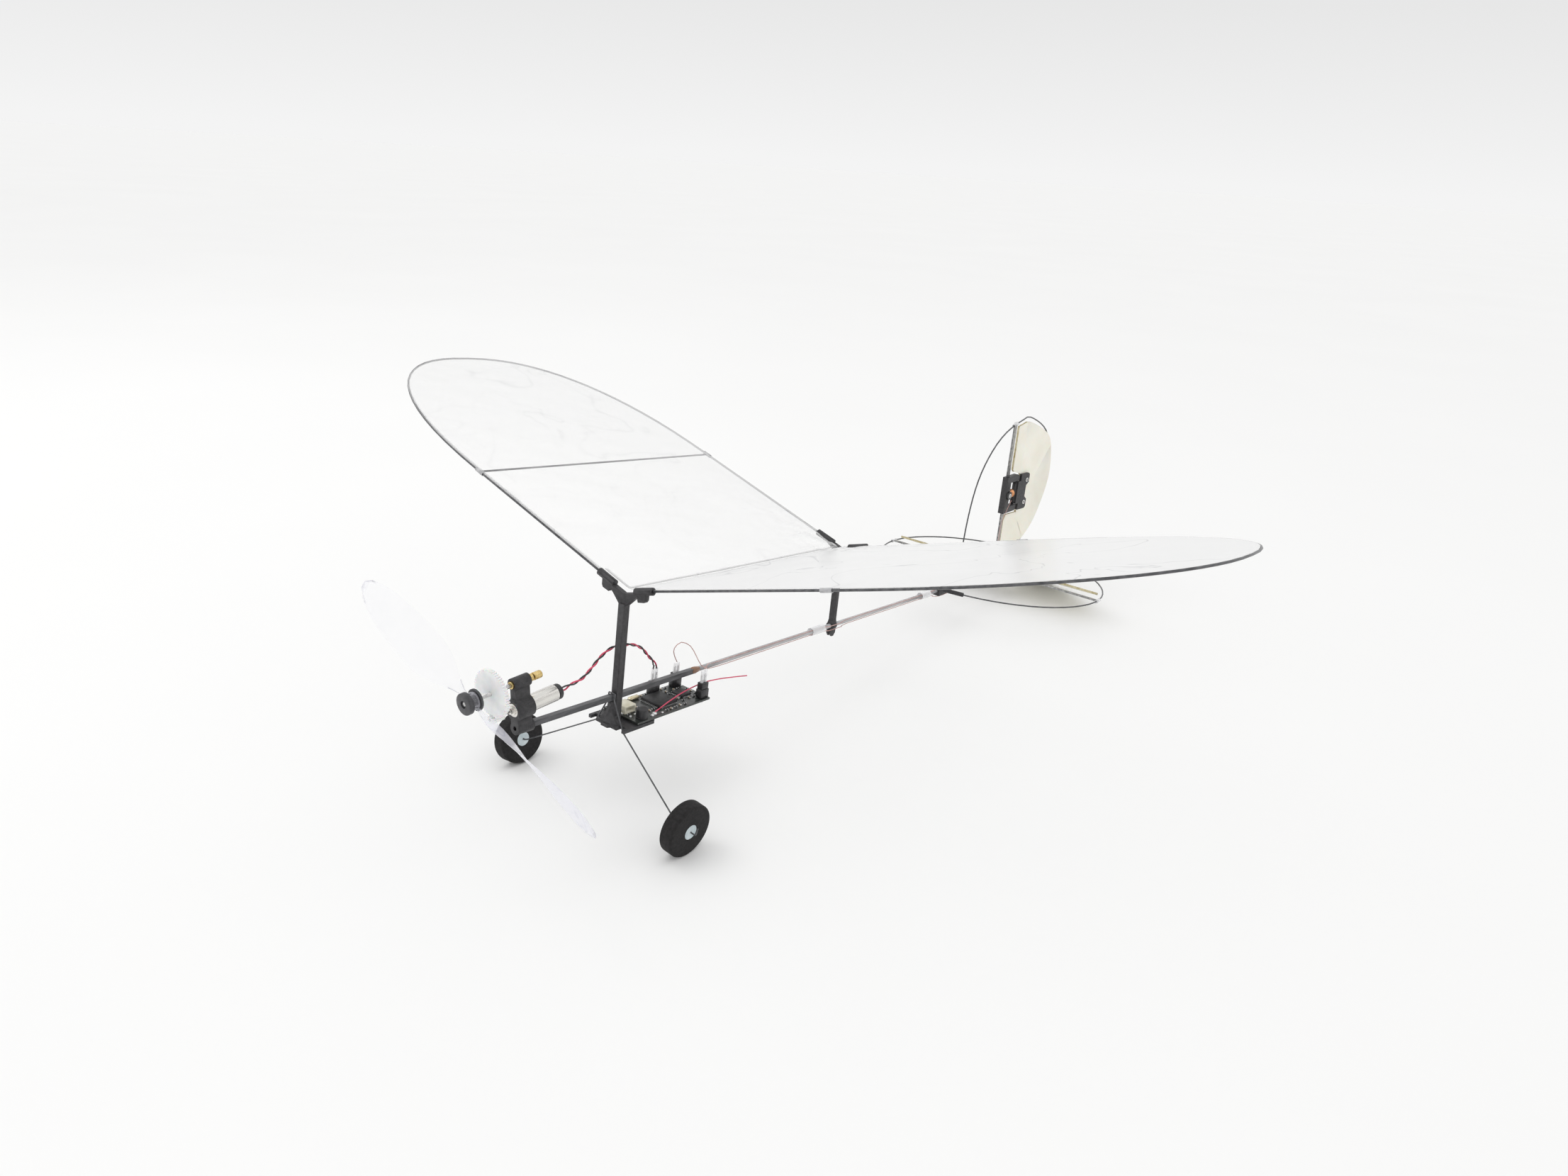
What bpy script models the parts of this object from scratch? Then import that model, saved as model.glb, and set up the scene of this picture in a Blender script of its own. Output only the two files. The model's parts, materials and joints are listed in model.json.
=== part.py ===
"""Ultralight indoor radio-controlled aeroplane: carbon rods, film wing, geared motor."""

import bpy
import bmesh
from math import asin, atan2, cos, hypot, pi, radians, sin, sqrt, tan
from mathutils import Matrix, Vector

MM = 0.001

# Every size is in millimetres. Stations run aft along the boom from its nose, heights run up
# from the boom's centre line, and +x is the aeroplane's left (port) side.
GAP = 0.3                  # clearance between neighbouring pieces
SEAT = 0.12                # clearance round a glued rod, tube or bushing
RUN = 0.06                 # clearance round a turning shaft

# boom
BOOM_ROD_SIDE = 2.0
BOOM_TUBE_DIAMETER = 2.0
BOOM_TUBE_BORE = 1.4
BOOM_JOINT = 90.0          # where the square front rod meets the round tube
BOOM_END = 346.0
BOOM_TENON = 7.0

# wing
MAST_STATION = 46.6
STRUT_STATION = 181.4
WING_HEIGHT_FRONT = 40.2   # where the two leading edge rods would cross
WING_HEIGHT_REAR = 37.7
DIHEDRAL = radians(16.5)
RIB_SPAN = 89.1            # along the panel from the centre to the rib
TIP_LENGTH = 105.8
TIP_FULLNESS = 2.35        # 2 would be an ellipse
WING_ROD = 0.92
RIB_ROD = 0.8
FILM_THICKNESS = 0.16
FILM_INSET = 2.1
SOCKET_REACH = 14.2
SOCKET_DIAMETER = 2.9
SOCKET_DEPTH = 8.0

# mast, base plate and rear strut
MAST_SIDE = 2.9
PLATE_TOP = -9.7
PLATE_THICKNESS = 1.3
PLATE_HALF_WIDTH = 9.4
PLATE_FRONT = 42.2
PLATE_REAR = 59.0
STRUT_SIDE = 2.5

# undercarriage
WHEEL_RADIUS = 10.05
WHEEL_WIDTH = 5.6
WHEEL_X = 45.2
WHEEL_STATION = 39.5
WHEEL_HEIGHT = -32.4
CAMBER = radians(6.15)
LEG_WIRE = 0.6
HUB_RADIUS = 2.7
LEG_HOLE_X = 7.2
LEG_HOLE_STATION = 44.0
LEG_LEAN = 0.9             # how far the wire leans inwards through the plate

# power unit, in its own frame tilted nose down against the boom
DOWNTHRUST = radians(6.1)
MOUNT_LENGTH = 6.6
MODULE = 0.3
SPUR_TEETH = 54
PINION_TEETH = 9
SHAFT_ABOVE_BOOM = 16.44
SHAFT_DIAMETER = 1.5
BUSHING_DIAMETER = 2.6
MOTOR_DIAMETER = 6.0
MOTOR_LENGTH = 19.2
SPUR_FACE = 1.5
SPUR_POSITION = -8.6       # front face of the spur gear along the shaft
PINION_LENGTH = 5.2
PROP_RADIUS = 62.5
PROP_CHORD = 15.0
PROP_PITCH = 125.0
PROP_THICKNESS = 0.5
PROP_POSITION = -15.9      # middle of the propeller along the shaft
HUB_DISC_RADIUS = 3.75
PROP_REST_TURN = radians(22.0)

# electronics
BOARD_TOP = -8.7
BOARD_THICKNESS = 0.8
BOARD_HALF_WIDTH = 9.1
BOARD_FRONT = 49.4
BOARD_REAR = 89.0
CHIP_SIDE = 10.0
CHIP_STATION = 70.0
CHIP_CENTRE_X = -0.4
SOCKET_WIDTH = 3.1
SOCKET_LENGTH = 4.3
SOCKET_SPOTS = {"motor": (-7.2, 73.4), "elevator": (-7.2, 85.9), "rudder": (6.9, 86.6)}
PLUG_HEIGHTS = {"motor": (-5.1, -3.3, 2.0), "elevator": (-5.1, -2.7, 1.3), "rudder": (-5.0, -2.3, 2.7)}

# tail
STAB_STATION = 282.0
STAB_HEIGHT = -0.2
STAB_INCIDENCE = radians(3.2)     # the stabiliser rises aft against the boom
STAB_HALF_SPAN = 66.0
STAB_CHORD = 106.0
STAB_FULLNESS = 1.95
STAB_FRONT = 3.0
SPAR_STATION = 57.0
TAIL_ROD = 0.8
SPAR_SIDE = 1.6
SURFACE_THICKNESS = 1.2
SURFACE_CLEARANCE = 2.2
ELEVATOR_DROOP = radians(19.5)
POST_BOTTOM = (344.0, 3.4)
POST_TOP = (338.3, 88.6)
RUDDER_REST = radians(5.0)
FIN_FRONT = 300.3
FIN_TOP = 90.2
FIN_TOP_STATION = 356.0
FIN_REAR = 390.2
FIN_REAR_HEIGHT = 54.0

# surface actuators, the same on rudder and elevator
HINGE_OFFSET = 10.6        # from the post or spar to the hinge pin
ACTUATOR_LENGTH = 21.0
ARM_HEIGHT = 3.4
FRAME_THICKNESS = 3.4
PIN_DIAMETER = 0.8
BRACKET_REACH = 11.4
BRACKET_THICKNESS = 1.4
COIL_RADIUS = 2.3
COIL_LENGTH = 4.4
ELEVATOR_ACTUATOR_X = -18.0

SPUR_RADIUS = MODULE * SPUR_TEETH / 2
PINION_RADIUS = MODULE * PINION_TEETH / 2
SHAFT_TO_MOTOR = SPUR_RADIUS + PINION_RADIUS
MOTOR_ABOVE_BOOM = SHAFT_ABOVE_BOOM - SHAFT_TO_MOTOR
WING_CHORD = hypot(STRUT_STATION - MAST_STATION, WING_HEIGHT_FRONT - WING_HEIGHT_REAR)
WING_INCIDENCE = asin((WING_HEIGHT_FRONT - WING_HEIGHT_REAR) / WING_CHORD)


# ---------------------------------------------------------------- scene and helpers

def clear_scene():
    for obj in list(bpy.data.objects):
        bpy.data.objects.remove(obj)
    for collection in list(bpy.data.collections):
        bpy.data.collections.remove(collection)


def new_collection(name):
    collection = bpy.data.collections.new(name)
    bpy.context.scene.collection.children.link(collection)
    return collection


def material(name, colour, roughness, metallic=0.0, alpha=1.0):
    made = bpy.data.materials.new(name)
    made.use_nodes = True
    shader = made.node_tree.nodes["Principled BSDF"]
    shader.inputs["Base Color"].default_value = (*colour, 1.0)
    shader.inputs["Roughness"].default_value = roughness
    shader.inputs["Metallic"].default_value = metallic
    shader.inputs["Alpha"].default_value = alpha
    made.diffuse_color = (*colour, alpha)
    return made


def add_object(name, data, mat, parent=None, matrix=None, cutter=False):
    """Link a mesh or curve; its place is a matrix in millimetres in the parent's frame."""
    obj = bpy.data.objects.new(name, data)
    (cutters if cutter else aeroplane).objects.link(obj)
    if mat is not None:
        data.materials.append(mat)
    obj.parent = parent
    if matrix is not None:
        scaled = matrix.copy()
        scaled.translation = scaled.translation * MM
        obj.matrix_basis = scaled
    if cutter:
        obj.hide_render = True
        obj.display_type = "WIRE"
    return obj


def empty(name, parent, matrix):
    obj = add_object(name, None, None, parent, matrix)
    obj.empty_display_size = 5 * MM
    return obj


def smooth(mesh, angle=40):
    mesh.shade_smooth()
    mesh.set_sharp_from_angle(angle=radians(angle))


def finish_mesh(name, bm, soft=True):
    bmesh.ops.scale(bm, vec=(MM, MM, MM), verts=bm.verts)
    bmesh.ops.recalc_face_normals(bm, faces=bm.faces)
    mesh = bpy.data.meshes.new(name)
    bm.to_mesh(mesh)
    bm.free()
    if soft:
        smooth(mesh)
    return mesh


def box_mesh(name, low, high):
    bm = bmesh.new()
    bmesh.ops.create_cube(bm, size=1.0)
    size = [h - l for l, h in zip(low, high)]
    middle = [(h + l) / 2 for l, h in zip(low, high)]
    bmesh.ops.scale(bm, vec=size, verts=bm.verts)
    bmesh.ops.translate(bm, vec=middle, verts=bm.verts)
    return finish_mesh(name, bm, soft=False)


def rod_mesh(name, start, end, radius, end_radius=None, sides=20):
    """A round bar or cone from one point to another."""
    start, end = Vector(start), Vector(end)
    bm = bmesh.new()
    bmesh.ops.create_cone(bm, cap_ends=True, segments=sides, radius1=radius,
                          radius2=radius if end_radius is None else end_radius,
                          depth=(end - start).length)
    turn = Vector((0, 0, 1)).rotation_difference(end - start).to_matrix()
    bmesh.ops.rotate(bm, cent=(0, 0, 0), matrix=turn, verts=bm.verts)
    bmesh.ops.translate(bm, vec=(start + end) / 2, verts=bm.verts)
    return finish_mesh(name, bm)


def plate_mesh(name, outline, low, high):
    """Extrude a closed outline of (x, y) points from one height to another."""
    bm = bmesh.new()
    face = bm.faces.new([bm.verts.new((x, y, low)) for x, y in outline])
    grown = bmesh.ops.extrude_face_region(bm, geom=[face])
    moved = [item for item in grown["geom"] if isinstance(item, bmesh.types.BMVert)]
    bmesh.ops.translate(bm, vec=(0, 0, high - low), verts=moved)
    return finish_mesh(name, bm)


def turned(name, profile, mat, parent, matrix, steps=28):
    """Turn a profile of (radius, height) about z with a Screw modifier, outer side downwards."""
    mesh = bpy.data.meshes.new(name)
    points = [(r * MM, 0, z * MM) for r, z in profile]
    edges = [(i, i + 1) for i in range(len(points) - 1)]
    if profile[0][0] > 0:
        edges.append((len(points) - 1, 0))
    mesh.from_pydata(points, edges, [])
    obj = add_object(name, mesh, mat, parent, matrix)
    screw = obj.modifiers.new("turn", "SCREW")
    screw.angle = 2 * pi
    screw.steps = steps
    screw.render_steps = steps
    screw.use_merge_vertices = True
    screw.merge_threshold = 0.000001
    screw.use_smooth_shade = False
    return obj


def smooth_path(points, spacing, closed=False):
    """Sample a smooth curve that passes through all the points."""
    points = [Vector(p) for p in points]
    if closed:
        points = [points[-1]] + points + points[:2]
    else:
        points = [2 * points[0] - points[1]] + points + [2 * points[-1] - points[-2]]
    path = []
    for before, a, b, after in zip(points, points[1:], points[2:], points[3:]):
        count = max(2, round((b - a).length / spacing))
        for step in range(count):
            t = step / count
            path.append(0.5 * (2 * a + (b - before) * t
                               + (2 * before - 5 * a + 4 * b - after) * t ** 2
                               + (3 * a - before - 3 * b + after) * t ** 3))
    if not closed:
        path.append(points[-2])
    return path


def wire(name, path, diameter, mat, parent, closed=False, resolution=2, matrix=None):
    """A round wire, rod or lead along a path."""
    curve = bpy.data.curves.new(name, "CURVE")
    curve.dimensions = "3D"
    curve.bevel_depth = diameter / 2 * MM
    curve.bevel_resolution = resolution
    curve.use_fill_caps = True
    spline = curve.splines.new("POLY")
    spline.points.add(len(path) - 1)
    for point, place in zip(spline.points, path):
        point.co = (place[0] * MM, place[1] * MM, place[2] * MM, 1)
    spline.use_cyclic_u = closed
    return add_object(name, curve, mat, parent, matrix)


def to_mesh(obj):
    """Replace a curve object by a closed mesh that modifiers can cut or join."""
    mesh = bpy.data.meshes.new_from_object(obj.evaluated_get(bpy.context.evaluated_depsgraph_get()))
    bm = bmesh.new()
    bm.from_mesh(mesh)
    bmesh.ops.remove_doubles(bm, verts=bm.verts, dist=0.000001)
    bmesh.ops.recalc_face_normals(bm, faces=bm.faces)
    bm.to_mesh(mesh)
    bm.free()
    name, parent, place = obj.name, obj.parent, obj.matrix_basis.copy()
    collection = obj.users_collection[0]
    bpy.data.objects.remove(obj)
    made = bpy.data.objects.new(name, mesh)
    collection.objects.link(made)
    made.parent = parent
    made.matrix_basis = place
    return made


def boolean(obj, mesh, operation, matrix=None):
    """Cut or join a helper mesh that shares the object's frame."""
    helper = add_object(obj.name + "_" + mesh.name, mesh, None, obj.parent, matrix, cutter=True)
    if matrix is None:
        helper.matrix_basis = obj.matrix_basis
    step = obj.modifiers.new(mesh.name, "BOOLEAN")
    step.operation = operation
    step.solver = "EXACT"
    step.object = helper
    return helper


def join(obj, mesh, matrix=None):
    return boolean(obj, mesh, "UNION", matrix)


def cut(obj, mesh, matrix=None):
    return boolean(obj, mesh, "DIFFERENCE", matrix)


def bevel(obj, width, segments=2, angle=35):
    step = obj.modifiers.new("rounded edges", "BEVEL")
    step.width = width * MM
    step.segments = segments
    step.limit_method = "ANGLE"
    step.angle_limit = radians(angle)
    step.harden_normals = False


def superellipse(start, end, count, exponent, across, along):
    """Points of a superellipse arc; the first size lies at angle zero."""
    points = []
    for step in range(count + 1):
        angle = start + (end - start) * step / count
        c, s = cos(angle), sin(angle)
        power = 2 / exponent
        points.append((across * abs(c) ** power * (1 if c >= 0 else -1),
                       along * abs(s) ** power * (1 if s >= 0 else -1)))
    return points


def frame(x_axis, y_axis, z_axis, origin):
    columns = Matrix((x_axis, y_axis, z_axis)).transposed().to_4x4()
    columns.translation = origin
    return columns


def wall_mesh(name, outline, front, back):
    """Extrude an outline of (x, z) points along y."""
    mesh = plate_mesh(name, outline, -back, -front)
    mesh.transform(Matrix.Rotation(pi / 2, 4, "X"))
    return mesh


def side_mesh(name, outline, low, high):
    """Extrude an outline of (y, z) points along x."""
    mesh = plate_mesh(name, outline, low, high)
    mesh.transform(Matrix(((0, 0, 1, 0), (1, 0, 0, 0), (0, 1, 0, 0), (0, 0, 0, 1))))
    return mesh


def axis_frame(origin, direction):
    """A frame whose z axis runs along a direction."""
    turn = Vector((0, 0, 1)).rotation_difference(Vector(direction))
    return Matrix.Translation(origin) @ turn.to_matrix().to_4x4()


def rounded_ring(outer, inner, half_width, corner, arc_steps=3):
    """Profile of a ring with rounded outer corners, for turning."""
    profile = [(inner, half_width)]
    for sign in (1, -1):
        arc = [pi / 2 - k * pi / 2 / arc_steps for k in range(arc_steps + 1)]
        corner_points = [(outer - corner + corner * cos(a), sign * (half_width - corner + corner * sin(a)))
                         for a in arc]
        profile += corner_points if sign > 0 else corner_points[::-1]
    return profile + [(inner, -half_width)]


def offset_inwards(path, distance):
    """Shift an open (x, y) path sideways, to the left of its direction."""
    shifted = []
    for i, (x, y) in enumerate(path):
        ax, ay = path[max(i - 1, 0)]
        bx, by = path[min(i + 1, len(path) - 1)]
        length = hypot(bx - ax, by - ay)
        shifted.append((x - (by - ay) / length * distance, y + (bx - ax) / length * distance))
    return shifted


# ---------------------------------------------------------------- boom

def build_boom():
    half = BOOM_ROD_SIDE / 2
    tenon_radius = BOOM_TUBE_BORE / 2 - SEAT
    rod = add_object("boom_rod", box_mesh("rod", (-half, 1.2, -half), (half, BOOM_JOINT - 3, half)),
                     mats["carbon"], airframe)
    taper = rod_mesh("taper", (0, BOOM_JOINT - 3.6, 0), (0, BOOM_JOINT - GAP, 0), half, tenon_radius)
    join(rod, taper)
    join(rod, rod_mesh("tenon", (0, BOOM_JOINT - 1, 0), (0, BOOM_JOINT + BOOM_TENON, 0), tenon_radius))
    tube = add_object("boom_tube", rod_mesh("tube", (0, BOOM_JOINT, 0), (0, BOOM_END, 0),
                                            BOOM_TUBE_DIAMETER / 2), mats["grey tube"], airframe)
    cut(tube, rod_mesh("bore", (0, BOOM_JOINT - 1, 0), (0, BOOM_END + 1, 0), BOOM_TUBE_BORE / 2))


def cut_boom_hole(obj, start, end, side):
    cut(obj, box_mesh("boom hole", (-side / 2, start, -side / 2), (side / 2, end, side / 2)))


# ---------------------------------------------------------------- mast, strut, undercarriage

def arm_point(side, span, station, height):
    return Vector((side * span * cos(DIHEDRAL), station, height + span * sin(DIHEDRAL)))


def add_wing_sockets(obj, station, height, inner):
    """Two socket tubes along the dihedral line, with a small lug under each outer end."""
    for side, label in ((1, "port"), (-1, "starboard")):
        outer = arm_point(side, SOCKET_REACH, station, height)
        join(obj, rod_mesh("socket " + label, arm_point(side, inner, station, height), outer,
                           SOCKET_DIAMETER / 2, sides=12))
        mouth = arm_point(side, SOCKET_REACH + 1, station, height)
        depth = arm_point(side, SOCKET_REACH - SOCKET_DEPTH - GAP, station, height)
        cut(obj, rod_mesh("rod hole " + label, depth, mouth, WING_ROD / 2 + SEAT, sides=12))


def build_mast():
    half = MAST_SIDE / 2
    front, back = MAST_STATION - half, MAST_STATION + half
    plate_bottom = PLATE_TOP - PLATE_THICKNESS
    slope = tan(DIHEDRAL)
    web_top = WING_HEIGHT_FRONT - 0.9
    # the Y: post, flared webs and a strip along both arms
    arm_end = SOCKET_REACH * cos(DIHEDRAL) - 2.5
    right = [(half, plate_bottom + 0.4), (half, web_top - 4.2), (5.2, web_top + 5.2 * slope - 2.1),
             (arm_end - 4.2, web_top + (arm_end - 4.2) * slope - 1.2),
             (arm_end - 3.6, web_top + (arm_end - 3.6) * slope - 3.0),
             (arm_end - 0.6, web_top + (arm_end - 0.6) * slope - 3.2),
             (arm_end, web_top + arm_end * slope - 2.4), (arm_end, web_top + arm_end * slope + 0.6)]
    left = [(-x, z) for x, z in reversed(right)]
    outline = right + [(0, web_top + 0.6)] + left
    mast = add_object("mast_frame", wall_mesh("mast", outline, front + 0.5, back - 0.5),
                      mats["black plastic"], airframe)
    join(mast, box_mesh("post", (-half, front, plate_bottom + 0.3), (half, back, web_top - 3.4)))
    add_wing_sockets(mast, MAST_STATION, WING_HEIGHT_FRONT, 5.6)
    # base plate with a small nose under the gusset
    nose = 2.3
    outline = [(-PLATE_HALF_WIDTH, PLATE_FRONT), (-nose, PLATE_FRONT), (-nose + 0.6, PLATE_FRONT - 1.1),
               (nose - 0.6, PLATE_FRONT - 1.1), (nose, PLATE_FRONT), (PLATE_HALF_WIDTH, PLATE_FRONT),
               (PLATE_HALF_WIDTH, PLATE_REAR - 1.2), (PLATE_HALF_WIDTH - 1.2, PLATE_REAR),
               (-PLATE_HALF_WIDTH + 1.2, PLATE_REAR), (-PLATE_HALF_WIDTH, PLATE_REAR - 1.2)]
    join(mast, plate_mesh("base plate", outline, plate_bottom, PLATE_TOP))
    # gusset between the landing wire's two runs
    spread = LEG_HOLE_X - LEG_LEAN - LEG_WIRE / 2 - 2 * GAP - 0.9
    curve = [(0.9 + spread * t ** 2.2, -1.6 - (-1.6 - PLATE_TOP + 0.4) * t) for t in
             [k / 8 for k in range(9)]]
    outline = curve + [(-x, z) for x, z in reversed(curve)]
    join(mast, wall_mesh("gusset", outline, LEG_HOLE_STATION - 0.9, front + 0.4))
    hole = BOOM_ROD_SIDE + 2 * SEAT
    cut_boom_hole(mast, PLATE_FRONT - 2, back + 1, hole)
    for side in (1, -1):
        x = side * (LEG_HOLE_X - LEG_LEAN / 2)
        reach = LEG_LEAN / 2 + LEG_WIRE / 2 + 2 * GAP
        cut(mast, box_mesh("leg slot %d" % side, (x - reach, PLATE_FRONT - 1, plate_bottom - 1),
                           (x + reach, LEG_HOLE_STATION + LEG_WIRE / 2 + GAP, PLATE_TOP + 1)))


def build_rear_strut():
    half = STRUT_SIDE / 2
    foot = STRUT_STATION + 1.2
    top = WING_HEIGHT_REAR - 0.6
    lean = (foot - STRUT_STATION) / top
    slope = tan(DIHEDRAL)
    hole = BOOM_TUBE_DIAMETER / 2 + SEAT
    outline = [(foot - half, 3.0), (foot - half - lean * top, top), (foot + half - lean * top, top),
               (foot + half, 3.0), (foot + half + 0.6, 1.6), (foot + half + 0.6, -3.4),
               (foot + half - 0.6, -5.0), (foot - half + 0.4, -5.0), (foot - half - 0.6, -3.4),
               (foot - half - 0.6, 1.6)]
    strut = add_object("rear_strut", side_mesh("strut", outline, -half, half), mats["black plastic"],
                       airframe)
    join(strut, rod_mesh("collar", (0, foot - half - 0.5, 0), (0, foot + half + 0.5, 0),
                         BOOM_TUBE_DIAMETER / 2 + 0.9))
    reach = SOCKET_REACH * cos(DIHEDRAL) - 6
    half_strip = [(0, top - 2.6), (1.2, top - 2.4), (reach, top + reach * slope - 0.8),
                  (reach, top + reach * slope + 0.9), (0, top + 0.9)]
    outline = half_strip[:-1] + [(0, top + 0.9)] + [(-x, z) for x, z in reversed(half_strip[1:-1])]
    join(strut, wall_mesh("V strip", outline, STRUT_STATION - half + 0.4, STRUT_STATION + half - 0.4))
    add_wing_sockets(strut, STRUT_STATION, WING_HEIGHT_REAR, 4.6)
    cut(strut, rod_mesh("boom hole", (0, foot - 5, 0), (0, foot + 5, 0), hole))
    cut(strut, box_mesh("fork slot", (-0.45, foot - 5, -6), (0.45, foot + 5, 0)))


def wheel_place(side):
    """Frame of a wheel: z runs outwards along its axle, which dips by the camber angle."""
    direction = Vector((side * cos(CAMBER), 0, -sin(CAMBER)))
    return axis_frame(Vector((side * WHEEL_X, WHEEL_STATION, WHEEL_HEIGHT)), direction)


def landing_wire_path():
    """Half of the wire, from its apex over the boom to the turned-up tip outside the wheel."""
    place = wheel_place(1)
    outward = place.to_3x3() @ Vector((0, 0, 1))
    centre = place.translation
    reach = WHEEL_WIDTH / 2 + 1.5
    inner = centre - outward * reach
    outer = centre + outward * (reach + 0.4)
    top = BOOM_ROD_SIDE / 2 + LEG_WIRE / 2 + GAP
    shoulder = BOOM_ROD_SIDE / 2 + LEG_WIRE / 2 + GAP
    leg_top = Vector((LEG_HOLE_X, LEG_HOLE_STATION, PLATE_TOP - PLATE_THICKNESS - 0.6))
    path = [Vector((0, LEG_HOLE_STATION, top)), Vector((shoulder - 0.3, LEG_HOLE_STATION, top)),
            Vector((shoulder, LEG_HOLE_STATION, top - 0.3)), Vector((shoulder, LEG_HOLE_STATION, -1.2))]
    path += [leg_top + Vector((-LEG_LEAN, 0, 1.6)), leg_top]
    path += [leg_top.lerp(inner, 0.97), inner + outward * 0.5, outer]
    path += [outer + outward * 0.5 + Vector((0, 0.1, 0.4)), outer + outward * 0.6 + Vector((0, 0.6, 2.6))]
    return path


def build_undercarriage():
    half = landing_wire_path()
    other = [Vector((-p.x, p.y, p.z)) for p in half[1:]]
    wire("landing_wire", other[::-1] + half, LEG_WIRE, mats["carbon"], airframe)
    for side, label in ((1, "port"), (-1, "starboard")):
        axle = empty("wheel_" + label, airframe, wheel_place(side))
        half_width = WHEEL_WIDTH / 2
        turned("tyre_" + label, rounded_ring(WHEEL_RADIUS, HUB_RADIUS + GAP, half_width, 0.9),
               mats["black foam"], axle, Matrix.Identity(4), steps=32)
        flange = HUB_RADIUS + 0.1
        rim = half_width + 0.15
        bore = LEG_WIRE / 2 + RUN
        hub = [(bore, rim), (flange - 0.2, rim), (flange, rim - 0.2), (flange, 0.2 - rim),
               (flange - 0.2, -rim), (bore, -rim)]
        turned("hub_" + label, hub, mats["pale plastic"], axle, Matrix.Identity(4), steps=24)


# ---------------------------------------------------------------- power unit

def build_motor_mount():
    ring, motor_ring, boss = 2.2, MOTOR_DIAMETER / 2 + 0.95, 2.35
    neck, web = 1.5, 1.9
    outline = [(-web, -0.5), (web, -0.5), (web, MOTOR_ABOVE_BOOM), (neck, MOTOR_ABOVE_BOOM + 4.2),
               (neck, SHAFT_ABOVE_BOOM), (-neck, SHAFT_ABOVE_BOOM), (-neck, MOTOR_ABOVE_BOOM + 4.2),
               (-web, MOTOR_ABOVE_BOOM)]
    mount = add_object("motor_mount", wall_mesh("web", outline, 0.4, MOUNT_LENGTH - 0.4),
                       mats["black plastic"], thrust)
    for label, height, radius in (("shaft ring", SHAFT_ABOVE_BOOM, ring),
                                  ("motor ring", MOTOR_ABOVE_BOOM, motor_ring)):
        join(mount, rod_mesh(label, (0, 0, height), (0, MOUNT_LENGTH, height), radius, sides=32))
    to_thrust = thrust_place.inverted()
    along = [to_thrust @ Vector((0, s, 0)) for s in (0.1, 6.8)]
    join(mount, rod_mesh("boss", along[0], along[1], boss, sides=28))
    cut(mount, rod_mesh("bushing hole", (0, -1, SHAFT_ABOVE_BOOM), (0, 9, SHAFT_ABOVE_BOOM),
                        BUSHING_DIAMETER / 2 + SEAT, sides=24))
    cut(mount, rod_mesh("motor hole", (0, 0.5, MOTOR_ABOVE_BOOM), (0, 9, MOTOR_ABOVE_BOOM),
                        MOTOR_DIAMETER / 2 + SEAT, sides=32))
    cut(mount, rod_mesh("nose hole", (0, -1, MOTOR_ABOVE_BOOM), (0, 2, MOTOR_ABOVE_BOOM),
                        MOTOR_DIAMETER / 2 - 0.5, sides=28))
    side = BOOM_ROD_SIDE / 2 + SEAT
    hole = cut(mount, box_mesh("boom socket", (-side, 1.0, -side), (side, 9, side)))
    hole.parent = airframe
    sight = cut(mount, rod_mesh("sight hole", (0, -2, 0), (0, 3, 0), 0.8))
    sight.parent = airframe


def build_motor():
    radius = MOTOR_DIAMETER / 2
    bore = 0.4 + RUN
    can_end = 0.6 + MOTOR_LENGTH - 2.2
    aft = Vector((0, 1, 0))
    place = axis_frame((0, 0, MOTOR_ABOVE_BOOM), -aft)
    # turned about the motor axis, with heights counted forwards from the mount's front face
    can = [(bore, 1.5), (1.0, 1.5), (1.0, 0.7), (1.6, 0.7), (1.6, 0.1), (radius - 0.62, 0.1),
           (radius - 0.62, -0.62), (radius - 0.25, -0.62), (radius, -0.87), (radius, -can_end + 0.15),
           (radius - 0.15, -can_end), (bore, -can_end)]
    turned("motor_can", can, mats["nickel"], thrust, place, steps=28)
    cap_front, cap_back = -can_end - GAP, -can_end - 2.2
    cap = [(0, cap_front), (radius - 0.2, cap_front), (radius - 0.2, cap_back + 0.5),
           (radius - 0.7, cap_back), (1.1, cap_back), (0.9, cap_back - 0.5), (0, cap_back - 0.5)]
    turned("motor_end_cap", cap, mats["black plastic"], thrust, place, steps=24)


def gear_outline(teeth, addendum, dedendum, backlash, undercut=1.0):
    """Involute teeth at 20 degrees; backlash is taken off each flank at the pitch circle."""
    pitch = MODULE * teeth / 2
    base = pitch * cos(radians(20))
    root, tip = pitch - dedendum, pitch + addendum

    def involute(angle):
        return tan(angle) - angle

    def half_angle(radius):
        below = 1.0 if radius >= base else undercut
        angle = 0.0 if radius <= base else atan2(sqrt(radius ** 2 - base ** 2), base)
        flank = pi / (2 * teeth) + involute(radians(20)) - involute(angle) - backlash / pitch
        return flank * below

    flank = [root, pitch, tip]
    outline = []
    for tooth in range(teeth):
        middle = -pi / 2 + 2 * pi * tooth / teeth
        sides = [(r, middle - half_angle(r)) for r in flank]
        sides += [(r, middle + half_angle(r)) for r in reversed(flank)]
        outline += [(r * cos(a), r * sin(a)) for r, a in sides]
    return outline


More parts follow.
